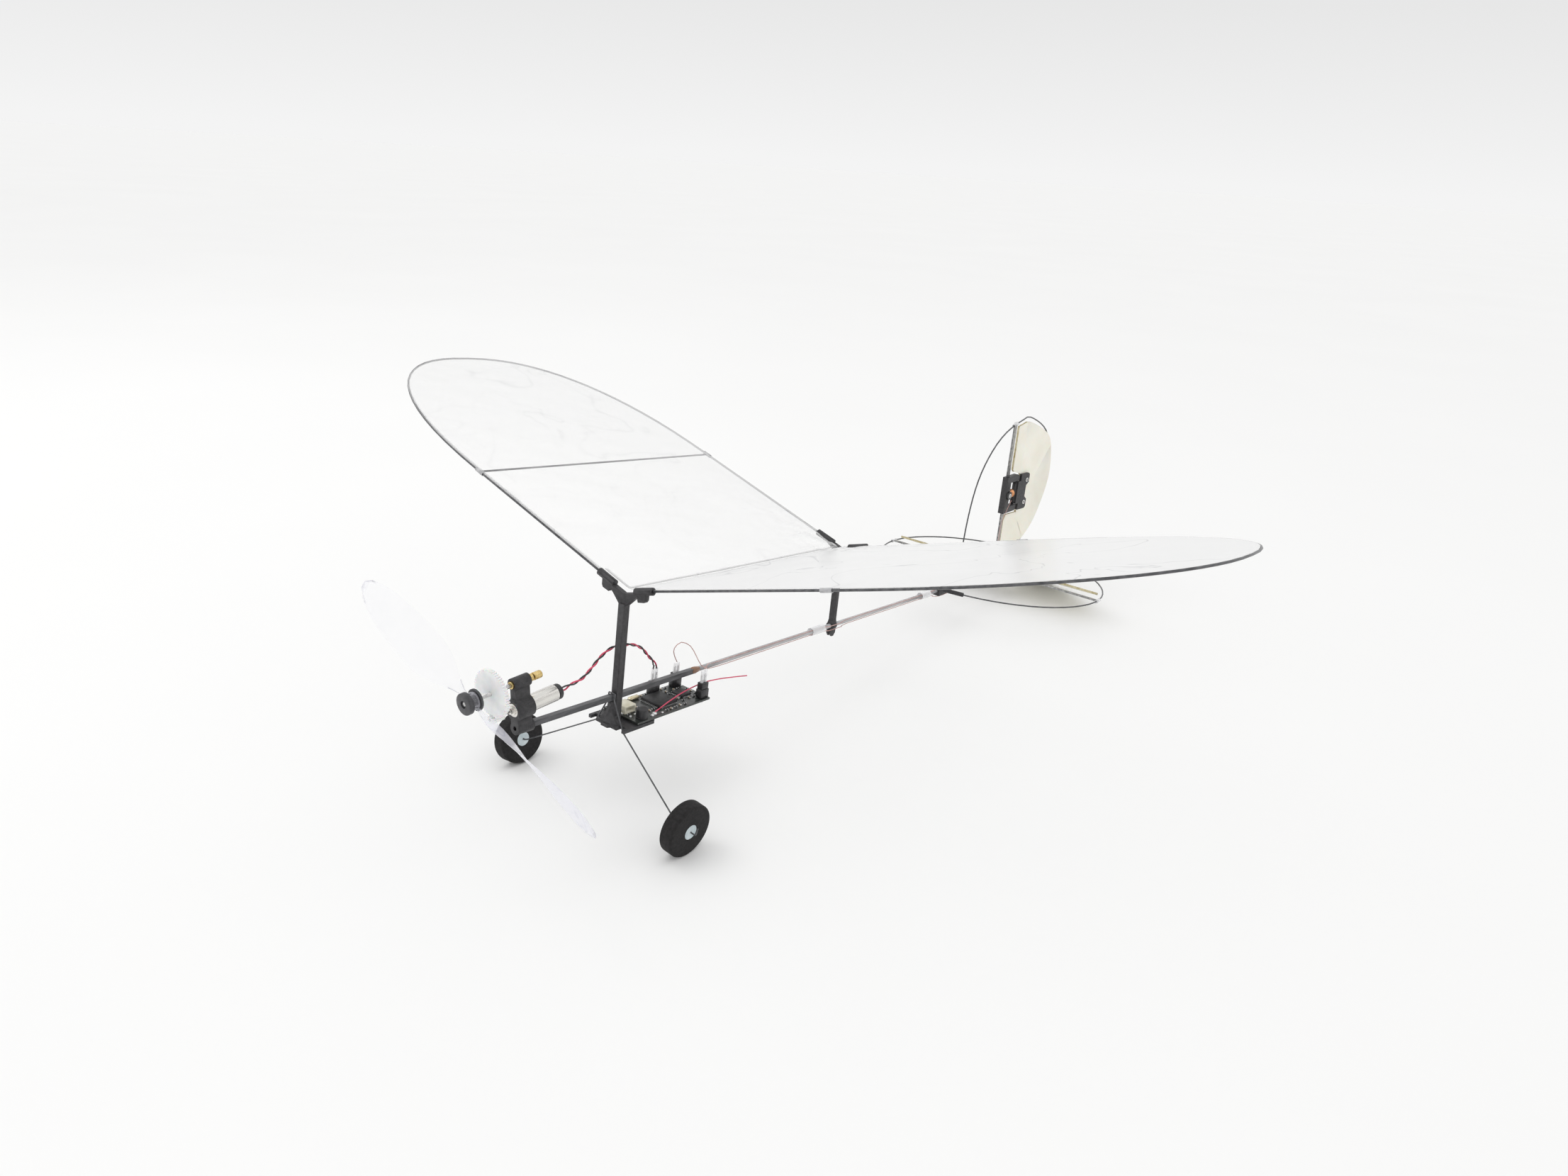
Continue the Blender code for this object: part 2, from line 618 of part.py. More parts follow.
def build_prop_shaft():
    hub_front = PROP_POSITION - 3.1
    shaft = SHAFT_DIAMETER / 2
    along = axis_frame((0, 0, 0), (0, -1, 0))
    add_object("prop_shaft", rod_mesh("shaft", (0, hub_front + 0.2, 0), (0, 12.2, 0), shaft, sides=24),
               mats["steel"], prop_axis)
    # bushing pressed into the mount, and the collar that keeps the shaft in it
    bush = BUSHING_DIAMETER / 2
    profile = [(shaft + RUN, 0.6), (bush, 0.6), (bush, -8.3), (shaft + RUN, -8.3)]
    place = Matrix.Translation((0, 0, SHAFT_ABOVE_BOOM)) @ along
    turned("shaft_bushing", profile, mats["brass"], thrust, place, steps=24)
    collar = [(shaft + RUN, -8.8), (bush, -8.8), (bush + 0.08, -9.0), (bush + 0.08, -11.6),
              (bush - 0.1, -11.9), (shaft + RUN, -11.9)]
    turned("shaft_collar", collar, mats["brass"], prop_axis, along, steps=24)
    # spool that carries the propeller
    rim, core = HUB_DISC_RADIUS, 2.1
    front = -hub_front
    spool = [(shaft + RUN, front - 0.5), (1.3, front - 0.5), (1.3, front), (rim - 0.5, front),
             (rim, front - 0.4), (rim, front - 1.8), (core, front - 1.8), (core, front - 4.4),
             (rim, front - 4.4), (rim, front - 5.2), (shaft + RUN, front - 5.2)]
    turned("prop_hub", spool, mats["dark grey plastic"], prop_axis, along, steps=28)


def build_gears():
    tooth_gap = 0.05
    outline = gear_outline(SPUR_TEETH, 0.27, 0.36, tooth_gap)
    spur_back = SPUR_POSITION + SPUR_FACE
    spur = add_object("spur_gear", wall_mesh("teeth", outline, SPUR_POSITION, spur_back),
                      mats["white nylon"], prop_axis)
    join(spur, rod_mesh("boss", (0, SPUR_POSITION + 0.3, 0), (0, spur_back + 2.2, 0), 2.4))
    cut(spur, rod_mesh("bore", (0, -20, 0), (0, 5, 0), SHAFT_DIAMETER / 2 + RUN, sides=24))
    outline = gear_outline(PINION_TEETH, 0.2, 0.39, tooth_gap, undercut=0.8)
    pinion_front = SPUR_POSITION - 0.7
    # half a tooth round from the spur gear's lowest tooth, so that the two mesh
    pinion_turn = Matrix.Rotation(pi + pi / PINION_TEETH, 4, "Y")
    mesh = wall_mesh("teeth", outline, pinion_front, pinion_front + PINION_LENGTH)
    mesh.transform(pinion_turn)
    pinion = add_object("pinion_gear", mesh, mats["white nylon"], pinion_axis)
    cut(pinion, rod_mesh("bore", (0, -20, 0), (0, 5, 0), 0.4 + SEAT, sides=16))
    add_object("motor_shaft", rod_mesh("shaft", (0, pinion_front + 0.4, 0), (0, 4, 0), 0.4, sides=16),
               mats["steel"], pinion_axis)


def blade_chord(radius):
    """Narrow at the hub, widest at 0.45 of the radius, rounded off at the tip."""
    shank, widest, narrow = HUB_DISC_RADIUS + 0.9, 0.45 * PROP_RADIUS, 2.0
    if radius < shank:
        return narrow
    if radius < widest:
        grown = sin(pi / 2 * (radius - shank) / (widest - shank)) ** 1.2
        return narrow + (PROP_CHORD - narrow) * grown
    fall = (radius - widest) / (PROP_RADIUS - widest)
    return PROP_CHORD * (1 - fall ** 3.2) ** 0.55 + 0.8 * fall


def blade_mesh(turn):
    """A thin twisted blade lofted outwards through lens-shaped sections."""
    bm = bmesh.new()
    stations, around = 22, 8
    rings = []
    root = 2.4
    for k in range(stations + 1):
        t = k / stations
        radius = root + (PROP_RADIUS - 0.4 - root) * t
        chord = blade_chord(radius)
        pitch = min(radians(66), atan2(PROP_PITCH, 2 * pi * radius))
        ring = []
        for step in range(around):
            angle = 2 * pi * step / around
            across = chord / 2 * cos(angle)
            thick = PROP_THICKNESS / 2 * sin(angle)
            up = across * cos(pitch) + thick * sin(pitch)
            forward = across * sin(pitch) - thick * cos(pitch)
            ring.append(bm.verts.new((radius, -forward, up)))
        rings.append(ring)
    for inner, outer in zip(rings, rings[1:]):
        for step in range(around):
            after = (step + 1) % around
            bm.faces.new((inner[step], inner[after], outer[after], outer[step]))
    bm.faces.new(rings[0])
    bm.faces.new(rings[-1])
    bmesh.ops.rotate(bm, cent=(0, 0, 0), matrix=Matrix.Rotation(turn, 3, "Y"), verts=bm.verts)
    bmesh.ops.translate(bm, vec=(0, PROP_POSITION, 0), verts=bm.verts)
    return finish_mesh("blade %d" % round(turn * 100), bm)


def build_propeller():
    core = 2.1 + SEAT
    middle = PROP_POSITION
    length = 2.6 - 2 * SEAT
    prop = add_object("propeller", rod_mesh("wrap", (0, middle - length / 2, 0),
                                            (0, middle + length / 2, 0), core + 0.75, sides=28),
                      mats["clear plastic"], prop_axis)
    for turn in (PROP_REST_TURN, PROP_REST_TURN + pi):
        join(prop, blade_mesh(turn))
    cut(prop, rod_mesh("core", (0, middle - 8, 0), (0, middle + 8, 0), core, sides=28))


# ---------------------------------------------------------------- electronics

def block(name, mat, centre, size, bottom, top, soften=0.15):
    (x, s), (width, length) = centre, size
    made = add_object(name, box_mesh(name, (x - width / 2, s - length / 2, bottom),
                                     (x + width / 2, s + length / 2, top)), mats[mat], airframe)
    if soften:
        bevel(made, soften, 1)
    return made


def build_electronics():
    middle = (BOARD_FRONT + BOARD_REAR) / 2
    seat = BOARD_TOP + SEAT
    block("circuit_board", "circuit board", (0, middle), (2 * BOARD_HALF_WIDTH, BOARD_REAR - BOARD_FRONT),
          BOARD_TOP - BOARD_THICKNESS, BOARD_TOP, 0)
    block("main_chip", "chip", (CHIP_CENTRE_X, CHIP_STATION), (CHIP_SIDE, CHIP_SIDE), seat + 0.1, seat + 1.3)
    block("radio_chip", "chip", (0.1, CHIP_STATION + 12.1), (5.5, 5.5), seat, seat + 0.9)
    battery = block("battery_socket", "white plastic", (-1.9, 53.2), (6.0, 5.6), seat, seat + 3.1)
    cut(battery, box_mesh("mouth", (-3.4, 51.2, seat + 0.7), (2, 55.2, seat + 2.4)))
    block("crystal", "crystal", (-7.3, 63.0), (2.0, 5.2), seat, seat + 1.3, 0.4)
    can = [(0, seat + 3.6), (2.0, seat + 3.6), (2.3, seat + 3.3), (2.3, seat), (0, seat)]
    turned("capacitor", can, mats["black plastic"], airframe, Matrix.Translation((6.4, 54.0, 0)), 24)
    for name, (x, s) in SOCKET_SPOTS.items():
        socket_top, plug_top, sleeve_top = PLUG_HEIGHTS[name]
        block("socket_" + name, "black plastic", (x, s), (SOCKET_WIDTH, SOCKET_LENGTH), seat, socket_top)
        plug = block("plug_" + name, "black plastic", (x, s), (SOCKET_WIDTH - 0.5, SOCKET_LENGTH - 0.6),
                     socket_top + SEAT, plug_top, 0)
        for offset in (-0.95, 0.95):
            join(plug, rod_mesh("sleeve %+.0f" % offset, (x, s + offset, plug_top - 0.5),
                                (x, s + offset, sleeve_top), 0.72, 0.6, sides=12))


# ---------------------------------------------------------------- wing

def wing_tip(inset, count):
    """The panel's outline round the tip, from leading to trailing edge, in (span, chord)."""
    arc = superellipse(-pi / 2, pi / 2, count, TIP_FULLNESS, TIP_LENGTH - inset, WING_CHORD / 2 - inset)
    return [(RIB_SPAN + u, WING_CHORD / 2 + v) for u, v in arc]


def build_wing():
    aft = Vector((0, cos(WING_INCIDENCE), -sin(WING_INCIDENCE)))
    origin = Vector((0, MAST_STATION, WING_HEIGHT_FRONT))
    root = SOCKET_REACH - SOCKET_DEPTH
    for side, label in ((1, "port"), (-1, "starboard")):
        out = Vector((side * cos(DIHEDRAL), 0, sin(DIHEDRAL)))
        up = out.cross(aft) * side
        across = aft if side > 0 else aft
        place = frame(out, across, up * side, origin)
        panel = empty("wing_" + label, airframe, place)
        lift = side
        path = [(root, 0), (RIB_SPAN / 2, 0)] + wing_tip(0, 34) + [(RIB_SPAN / 2, WING_CHORD),
                                                                  (root, WING_CHORD)]
        wire("wing_frame_" + label, [(u, v, 0) for u, v in path], WING_ROD, mats["carbon"], panel,
             resolution=2)
        # rib with a short tee at each end that the frame rod runs through
        tee_radius, bore = WING_ROD / 2 + 0.34, WING_ROD / 2 + SEAT
        rib = add_object("wing_rib_" + label,
                         rod_mesh("rib", (RIB_SPAN, 0.7, 0), (RIB_SPAN, WING_CHORD - 0.7, 0),
                                  RIB_ROD / 2, sides=12), mats["carbon"], panel)
        for v in (0, WING_CHORD):
            join(rib, rod_mesh("tee %d" % v, (RIB_SPAN - 2.2, v, 0), (RIB_SPAN + 2.2, v, 0),
                               tee_radius, sides=16))
        for v in (0, WING_CHORD):
            cut(rib, rod_mesh("bore %d" % v, (RIB_SPAN - 4, v, 0), (RIB_SPAN + 4, v, 0), bore, sides=16))
        notch, notch_end = SOCKET_DIAMETER / 2 + GAP, SOCKET_REACH + GAP
        outline = [(1.0, notch + 0.6), (notch_end, notch + 0.6), (notch_end, FILM_INSET)]
        outline += wing_tip(FILM_INSET, 34)
        outline += [(notch_end, WING_CHORD - FILM_INSET), (notch_end, WING_CHORD - notch - 0.2),
                    (1.0, WING_CHORD - notch - 0.2)]
        low = max(WING_ROD, RIB_ROD) / 2 + SEAT
        film = plate_mesh("film", outline, low * lift, (low + FILM_THICKNESS) * lift)
        add_object("wing_film_" + label, film, mats["clear film"], panel)


# ---------------------------------------------------------------- tail

def fin_path():
    """The fin loop as (station, height) points, from the boom's top to its rear end."""
    depth, high = FIN_REAR - FIN_FRONT, FIN_TOP
    start = BOOM_TUBE_DIAMETER / 2 + TAIL_ROD / 2 + GAP
    points = [(FIN_FRONT, start), (FIN_FRONT + 0.4, 0.40 * high), (FIN_FRONT + 0.055 * depth, 0.64 * high),
              (FIN_FRONT + 0.17 * depth, 0.81 * high), (FIN_FRONT + 0.32 * depth, 0.92 * high),
              (FIN_TOP_STATION - 9, 0.988 * high), (FIN_TOP_STATION, high),
              (FIN_FRONT + 0.84 * depth, 0.93 * high), (FIN_FRONT + 0.945 * depth, 0.83 * high),
              (FIN_REAR, FIN_REAR_HEIGHT), (FIN_FRONT + 0.92 * depth, 0.335 * high),
              (FIN_FRONT + 0.79 * depth, 0.18 * high), (BOOM_END + 1.6, 0.6)]
    return [(p.x, p.y) for p in smooth_path([(s, h, 0) for s, h in points], 5.0)]


def stab_half(inset, count, start=0.0):
    """Half of the stabiliser's outline, from the front round to the rear, as (span, chord)."""
    arc = superellipse(-pi / 2 + start, pi / 2, count, STAB_FULLNESS, STAB_HALF_SPAN - inset,
                       STAB_CHORD / 2 - inset)
    return [(x, STAB_FRONT + STAB_CHORD / 2 + c) for x, c in arc]


def actuator_body(frame_name, coil_name, pin_name, place, strip_width, strip_depth):
    """Printed frame clamped on a strip that runs along its z axis, with its coil and hinge pin."""
    half = FRAME_THICKNESS / 2
    top = ACTUATOR_LENGTH / 2
    arm = top - ARM_HEIGHT
    pin = PIN_DIAMETER / 2
    reach = HINGE_OFFSET + pin + 1.2
    back = strip_width / 2 + 0.9
    outline = [(-back, -top), (reach - 1.2, -top), (reach, -top + 1.2), (reach, -arm), (back, -arm),
               (back, arm), (reach, arm), (reach, top - 1.2), (reach - 1.2, top), (-back, top)]
    body = add_object(frame_name, side_mesh("body", outline, -half, half), mats["black plastic"],
                      airframe, place)
    boss_end = HINGE_OFFSET - 7.9
    join(body, rod_mesh("coil boss", (0, back - 0.3, 0), (0, boss_end, 0), 1.6))
    join(body, rod_mesh("round boss", (half - 0.2, 0, 0), (half + 0.7, 0, 0), 1.7))
    slot = box_mesh("strip slot", (-strip_depth / 2 - SEAT, -strip_width / 2 - SEAT, -top - 9),
                    (strip_depth / 2 + SEAT, strip_width / 2 + SEAT, top + 9))
    cut(body, slot)
    cut(body, rod_mesh("pin hole", (0, HINGE_OFFSET, -top - 1), (0, HINGE_OFFSET, top + 1), pin + SEAT,
                       sides=16))
    coil_front = boss_end + GAP
    coil = rod_mesh("coil", (0, coil_front, 0), (0, coil_front + COIL_LENGTH, 0), COIL_RADIUS, sides=28)
    made = add_object(coil_name, coil, mats["copper"], airframe, place)
    cut(made, rod_mesh("core", (0, coil_front + 1, 0), (0, coil_front + COIL_LENGTH + 1, 0), 1.0))
    add_object(pin_name, rod_mesh("pin", (0, HINGE_OFFSET, -top + 0.4), (0, HINGE_OFFSET, top - 0.4),
                                  pin, sides=16), mats["steel"], airframe, place)
    return body


def actuator_bracket(bracket_name, magnet_name, hinge, face):
    """Moving bracket that turns on the pin; its plate lies against one face of the foam."""
    arm = ACTUATOR_LENGTH / 2 - ARM_HEIGHT - 0.5
    top = ACTUATOR_LENGTH / 2
    pin = PIN_DIAMETER / 2
    barrel = pin + 1.0
    low = SURFACE_THICKNESS / 2 + 0.15
    high = low + BRACKET_THICKNESS
    clear = pin + 2.5
    outline = [(0.2, -arm), (clear, -arm), (clear, -top), (BRACKET_REACH - 1, -top),
               (BRACKET_REACH, -top + 1), (BRACKET_REACH, -top + 5.4), (BRACKET_REACH - 2.4, -top + 7.2),
               (BRACKET_REACH - 2.4, top - 7.2), (BRACKET_REACH, top - 5.4), (BRACKET_REACH, top - 1),
               (BRACKET_REACH - 1, top), (clear, top), (clear, arm), (0.2, arm)]
    plate = side_mesh("plate", outline, min(low * face, high * face), max(low * face, high * face))
    bracket = add_object(bracket_name, plate, mats["black plastic"], hinge)
    join(bracket, rod_mesh("barrel", (0, 0, -arm), (0, 0, arm), barrel, sides=20))
    cut(bracket, rod_mesh("pin hole", (0, 0, -arm - 1), (0, 0, arm + 1), pin + RUN, sides=20))
    magnet_back = -barrel - 0.3
    add_object(magnet_name, rod_mesh("magnet", (0, magnet_back - 1.1, 0), (0, magnet_back, 0), 1.2),
               mats["nickel"], hinge)


def build_tail():
    # stabiliser: one rod from socket to socket
    start = 0.115
    half = stab_half(0, 28, start)
    port = half
    path = port + [(-x, c) for x, c in reversed(port[:-1])]
    wire("stab_frame", [(x, c, 0) for x, c in path], TAIL_ROD, mats["carbon"], stab)
    holder = add_object("tail_socket", box_mesh("saddle", (-2.1, -3.4, -2.0), (2.1, 5.4, 2.0)),
                        mats["black plastic"], stab)
    mouth = half[1]
    for side, label in ((1, "port"), (-1, "starboard")):
        direction = Vector((half[1][0] - half[0][0], half[1][1] - half[0][1], 0)).normalized()
        begin = Vector((half[0][0], half[0][1], 0)) - direction * (half[0][0] - 0.5)
        end = Vector((mouth[0], mouth[1], 0))
        end = begin + (end - begin).normalized() * 12.0
        hole_start = begin + (end - begin).normalized() * (half[0][0] - 0.5 - GAP)
        mirrored = Vector((side, 1, 1))
        join(holder, rod_mesh("socket " + label, begin * mirrored, end * mirrored, 1.15, sides=12))
        cut(holder, rod_mesh("rod hole " + label, hole_start * mirrored,
                             (end + direction) * mirrored, TAIL_ROD / 2 + SEAT, sides=12))
    hole = cut(holder, rod_mesh("boom hole", (0, STAB_STATION - 12, 0), (0, STAB_STATION + 12, 0),
                                BOOM_TUBE_DIAMETER / 2 + SEAT, sides=24))
    hole.parent = airframe
    # cross spar with a clear knot round the frame rod at each end
    end = STAB_HALF_SPAN - TAIL_ROD / 2
    spar = add_object("stab_spar", box_mesh("spar", (-end, SPAR_STATION - SPAR_SIDE / 2, -0.4),
                                            (end, SPAR_STATION + SPAR_SIDE / 2, 0.4)),
                      mats["grey tube"], stab)
    for side in (1, -1):
        x = side * STAB_HALF_SPAN
        join(spar, rod_mesh("knot %d" % side, (x, SPAR_STATION - 2.2, 0), (x, SPAR_STATION + 2.2, 0), 0.95,
                            sides=16))
    for side in (1, -1):
        x = side * STAB_HALF_SPAN
        cut(spar, rod_mesh("knot bore %d" % side, (x, SPAR_STATION - 4, 0), (x, SPAR_STATION + 4, 0),
                           TAIL_ROD / 2 + SEAT, sides=16))
    # fin: one rod loop with a post inside it
    loop = fin_path()
    wire("fin_frame", [(0, s, h) for s, h in loop], TAIL_ROD, mats["carbon"], airframe)
    length = hypot(POST_TOP[0] - POST_BOTTOM[0], POST_TOP[1] - POST_BOTTOM[1])
    post = add_object("fin_post", box_mesh("post", (-0.4, -1.4, 0), (0.4, 1.4, length - 0.4)),
                      mats["grey tube"], airframe, post_place)
    near = min(range(1, len(loop) - 1), key=lambda i: hypot(loop[i][0] - POST_TOP[0],
                                                           loop[i][1] - POST_TOP[1]))
    before, after = loop[near - 1], loop[near + 1]
    direction = Vector((0, after[0] - before[0], after[1] - before[1])).normalized()
    middle = Vector((0, loop[near][0], loop[near][1]))
    knot = join(post, rod_mesh("knot", middle - direction * 2.0, middle + direction * 2.0, 0.95,
                               sides=16))
    knot.parent, knot.matrix_basis = airframe, Matrix.Identity(4)
    bore = cut(post, rod_mesh("knot bore", middle - direction * 4, middle + direction * 4,
                              TAIL_ROD / 2 + 0.25, sides=16))
    bore.parent, bore.matrix_basis = airframe, Matrix.Identity(4)


def build_rudder():
    actuator_body("rudder_frame", "rudder_coil", "rudder_pin", rudder_actuator, 2.8, 0.8)
    actuator_bracket("rudder_bracket", "rudder_magnet", rudder_hinge, 1)
    to_hinge = (rudder_actuator @ Matrix.Translation((0, HINGE_OFFSET, 0))).inverted()
    inner = [to_hinge @ Vector((0, s, h)) for s, h in
             offset_inwards(fin_path(), -SURFACE_CLEARANCE - TAIL_ROD / 2)]
    horn, below, edge = -5.4, -4.0, ACTUATOR_LENGTH / 2 + 2.0
    lowest = (to_hinge @ Vector((0, 370, 17.0))).z
    rear = [(p.y, p.z) for p in inner if p.y > horn and p.z > lowest and p.z > -40]
    outline = rear + [(clear_of_frame() + 0.6, -edge - 2.2), (clear_of_frame(), -edge + 1.4)]
    outline += notch_curve(edge, clear_of_frame())
    outline += [(horn + 1.4, edge), (horn, edge + 1.4), (rear[0][0] - 0.2, rear[0][1] - 1.0)]
    add_object("rudder_foam", side_mesh("foam", outline, -SURFACE_THICKNESS / 2, SURFACE_THICKNESS / 2),
               mats["cream foam"], rudder_hinge)


def clear_of_frame():
    """Distance from a hinge pin to the front edge of the foam beside the actuator."""
    return PIN_DIAMETER / 2 + 4.2


def notch_curve(edge, depth):
    """Rounded cut-out in the foam that clears the fixed frame and its coil."""
    points = []
    for k in range(9):
        angle = -pi / 2 + pi * k / 8
        points.append((depth - 2.0 + 2.4 * cos(angle), (edge - 1.5) * sin(angle) * 0.98))
    return points


def build_elevator():
    place = stab_place @ Matrix.Translation((ELEVATOR_ACTUATOR_X, SPAR_STATION, 0))
    sideways = place @ Matrix(((0, 0, 1, 0), (0, 1, 0, 0), (-1, 0, 0, 0), (0, 0, 0, 1)))
    body = actuator_body("elevator_frame", "elevator_coil", "elevator_pin", sideways, SPAR_SIDE, 0.8)
    # the same print runs on to the boom's end, where it holds spar, post and boom together
    bridge_low = ELEVATOR_ACTUATOR_X + ACTUATOR_LENGTH / 2 - 1
    bridge = join(body, box_mesh("bridge", (bridge_low, SPAR_STATION - 1.5, -1.5),
                                 (0, SPAR_STATION + 1.5, 1.5)))
    saddle = join(body, box_mesh("saddle", (-2.2, SPAR_STATION - 1.9, -4.6),
                                 (2.2, SPAR_STATION + 8.2, 1.7)))
    spar_slot = cut(body, box_mesh("spar slot", (bridge_low - 3, SPAR_STATION - SPAR_SIDE / 2 - SEAT, -0.52),
                                   (4, SPAR_STATION + SPAR_SIDE / 2 + SEAT, 0.52)))
    for helper in (bridge, saddle, spar_slot):
        helper.parent, helper.matrix_basis = stab, Matrix.Identity(4)
    boom_hole = cut(body, rod_mesh("boom hole", (0, 320, 0), (0, BOOM_END + SEAT, 0),
                                   BOOM_TUBE_DIAMETER / 2 + SEAT, sides=24))
    loop_hole = cut(body, rod_mesh("loop hole", (0, BOOM_END - 1, 0.4), (0, 352, 2.2), 0.9, sides=16))
    for helper in (boom_hole, loop_hole):
        helper.parent, helper.matrix_basis = airframe, Matrix.Identity(4)
    post_slot = cut(body, box_mesh("post slot", (-0.52, -1.52, -0.3), (0.52, 1.52, 12)))
    post_slot.parent, post_slot.matrix_basis = airframe, scaled_place(post_place)
    actuator_bracket_sideways()
    hinge_station = SPAR_STATION + HINGE_OFFSET
    front, slot = -8.4, 2.6
    inset = SURFACE_CLEARANCE + TAIL_ROD / 2
    rear = [(x, c - hinge_station) for x, c in stab_half(inset, 48) if c - hinge_station > front]
    notch_low = ELEVATOR_ACTUATOR_X - ACTUATOR_LENGTH / 2 - 2.0
    depth = clear_of_frame()
    outline = [(slot, front)] + [(rear[0][0], front)] + rear[:-1]
    outline += [(0, rear[-1][1])] + [(-x, c) for x, c in reversed(rear[:-1])]
    outline += [(-rear[0][0], front), (notch_low, front), (notch_low, depth - 1.5),
                (notch_low + 1.5, depth), (-slot, depth), (-slot, 31.0), (-slot + 1.2, 32.5),
                (slot - 1.2, 32.5), (slot, 31.0)]
    add_object("elevator_foam", plate_mesh("foam", outline, -SURFACE_THICKNESS / 2, SURFACE_THICKNESS / 2),
               mats["cream foam"], elevator_hinge)


def scaled_place(matrix):
    scaled = matrix.copy()
    scaled.translation = scaled.translation * MM
    return scaled


def actuator_bracket_sideways():
    """The elevator's bracket is the rudder's, turned so that its pin lies along the spar."""
    turn = Matrix.Translation((ELEVATOR_ACTUATOR_X, 0, 0)) @ Matrix(
        ((0, 0, 1, 0), (0, 1, 0, 0), (-1, 0, 0, 0), (0, 0, 0, 1)))
    holder = empty("elevator_bracket_place", elevator_hinge, turn)
    actuator_bracket("elevator_bracket", "elevator_magnet", holder, -1)


# ---------------------------------------------------------------- leads and aerial

def build_leads():
    seat = 0.25
    motor_x, motor_s = SOCKET_SPOTS["motor"]
    top = PLUG_HEIGHTS["motor"][2] + 0.5
    end = MOTOR_LENGTH + 0.6 + 0.9
    start = thrust_place @ Vector((0, end, MOTOR_ABOVE_BOOM))
    beyond = thrust_place @ Vector((0, end + 4, MOTOR_ABOVE_BOOM + 0.4))
    route = [start, beyond, (-0.6, 29, 10.6), (-1.8, 34, 12.4), (-3.2, 40, 15.6), (-3.9, 46, 17.6),
             (-4.4, 52, 17.2), (-5.0, 58, 15.8), (-5.6, 63.4, 13.0), (-6.2, 67.4, 9.2), (-6.9, 71.6, 5.4),
             (motor_x, motor_s, top + 0.4)]
    wire("motor_lead", smooth_path(route, 3.4), 1.3, mats["red and black lead"], airframe)
    # enamelled leads to the two coils, held along the boom
    along, thin = BOOM_TUBE_DIAMETER / 2 + 0.36, 0.36
    x, s = SOCKET_SPOTS["rudder"]
    boom = along * 0.75
    route = [(x, s, 3.1), (x - 0.1, s + 1.2, 4.4), (5.4, s + 4.2, 4.2), (3.0, s + 8.6, 2.4),
             (boom, 102, boom), (boom, 140, boom), (boom, 172, boom), (2.2, 177.4, boom),
             (2.3, 182.6, boom), (2.2, 188, boom), (boom, 193, boom), (boom, 232, boom), (boom, 270, boom),
             (1.1, 276, 2.0), (1.1, 281, 2.8), (1.1, 288, 2.9), (boom, 293, 1.5), (boom, 315, boom),
             (1.2, 326, 1.4), (2.7, 333, 2.6), (2.9, 337.2, 5.9), (1.7, 340.6, 10), (0.9, 341.4, 16),
             (0.9, 341.0, 24), (1.2, 340.6, 31), (2.2, 340.8, 35.6), (2.6, 343.0, 40.6),
             (2.5, 345.4, 43.4)]
    wire("rudder_lead", smooth_path(route, 9.0), thin, mats["enamelled wire"], airframe, resolution=1)
    x, s = SOCKET_SPOTS["elevator"]
    low = -boom
    coil = stab_place @ Vector((ELEVATOR_ACTUATOR_X, SPAR_STATION + 4, -COIL_RADIUS - 0.4))
    route = [(x, s, 1.7), (x, s - 2.0, 5.0), (-6.6, s - 3.0, 8.4), (-5.0, s - 1.0, 11.0), (-2.2, s + 1.4, 9.8),
             (0.2, s + 2.8, 6.0), (1.6, s + 4.6, 2.2), (1.9, s + 8, 0.4), (boom, 100, low), (boom, 140, low),
             (boom, 172, low), (2.2, 177.4, low), (2.3, 182.6, low), (2.2, 188, low), (boom, 193, low),
             (boom, 232, low), (boom, 270, low), (1.1, 274, -2.0), (1.1, 281, -2.9), (1.1, 289, -2.7),
             (boom, 294, -1.3), (boom, 318, low), (0.2, 328, -1.8), (-3, 334, -1.6), (-9, 338.5, -0.6),
             (-14.5, 341.2, -0.4), (coil.x + 0.4, coil.y - 0.4, coil.z)]
    wire("elevator_lead", smooth_path(route, 9.0), thin, mats["enamelled wire"], airframe, resolution=1)
    route = [(7.0, 60.4, -7.9), (6.3, 64, -7.4), (5.4, 70, -6.4), (4.6, 77, -5.4), (4.2, 84, -4.7),
             (4.3, 91, -4.3), (4.7, 99, -4.8), (4.9, 108, -6.1), (4.6, 117, -7.8)]
    wire("antenna_wire", smooth_path(route, 2.2), 0.5, mats["red lead"], airframe)


# ---------------------------------------------------------------- standing on the ground

def lowest_over_pitch(names, pitch):
    graph = bpy.context.evaluated_depsgraph_get()
    lowest = []
    for name in names:
        piece = bpy.data.objects[name].evaluated_get(graph)
        place = piece.matrix_world
        for vertex in piece.data.vertices:
            point = place @ vertex.co
            lowest.append(point.z * cos(pitch) - point.y * sin(pitch))
    return min(lowest)


def stand_on_ground():
    """Pitch the aeroplane nose up until wheels and elevator both touch the ground."""
    bpy.context.view_layer.update()
    low, high = radians(0.0), radians(15.0)
    wheels = ("tyre_port", "tyre_starboard")
    for _ in range(30):
        pitch = (low + high) / 2
        if lowest_over_pitch(wheels, pitch) < lowest_over_pitch(("elevator_foam",), pitch):
            low = pitch
        else:
            high = pitch
    ground.rotation_euler.x = -pitch
    bpy.context.view_layer.update()
    graph = bpy.context.evaluated_depsgraph_get()
    corners = []
    for piece in aeroplane.objects:
        if piece.type == "EMPTY":
            continue
        mesh = piece.evaluated_get(graph).to_mesh()
        corners += [piece.matrix_world @ v.co for v in mesh.vertices]
    for axis in range(3):
        values = [c[axis] for c in corners]
        ground.location[axis] = -min(values) if axis == 2 else -(min(values) + max(values)) / 2
    bpy.context.view_layer.update()


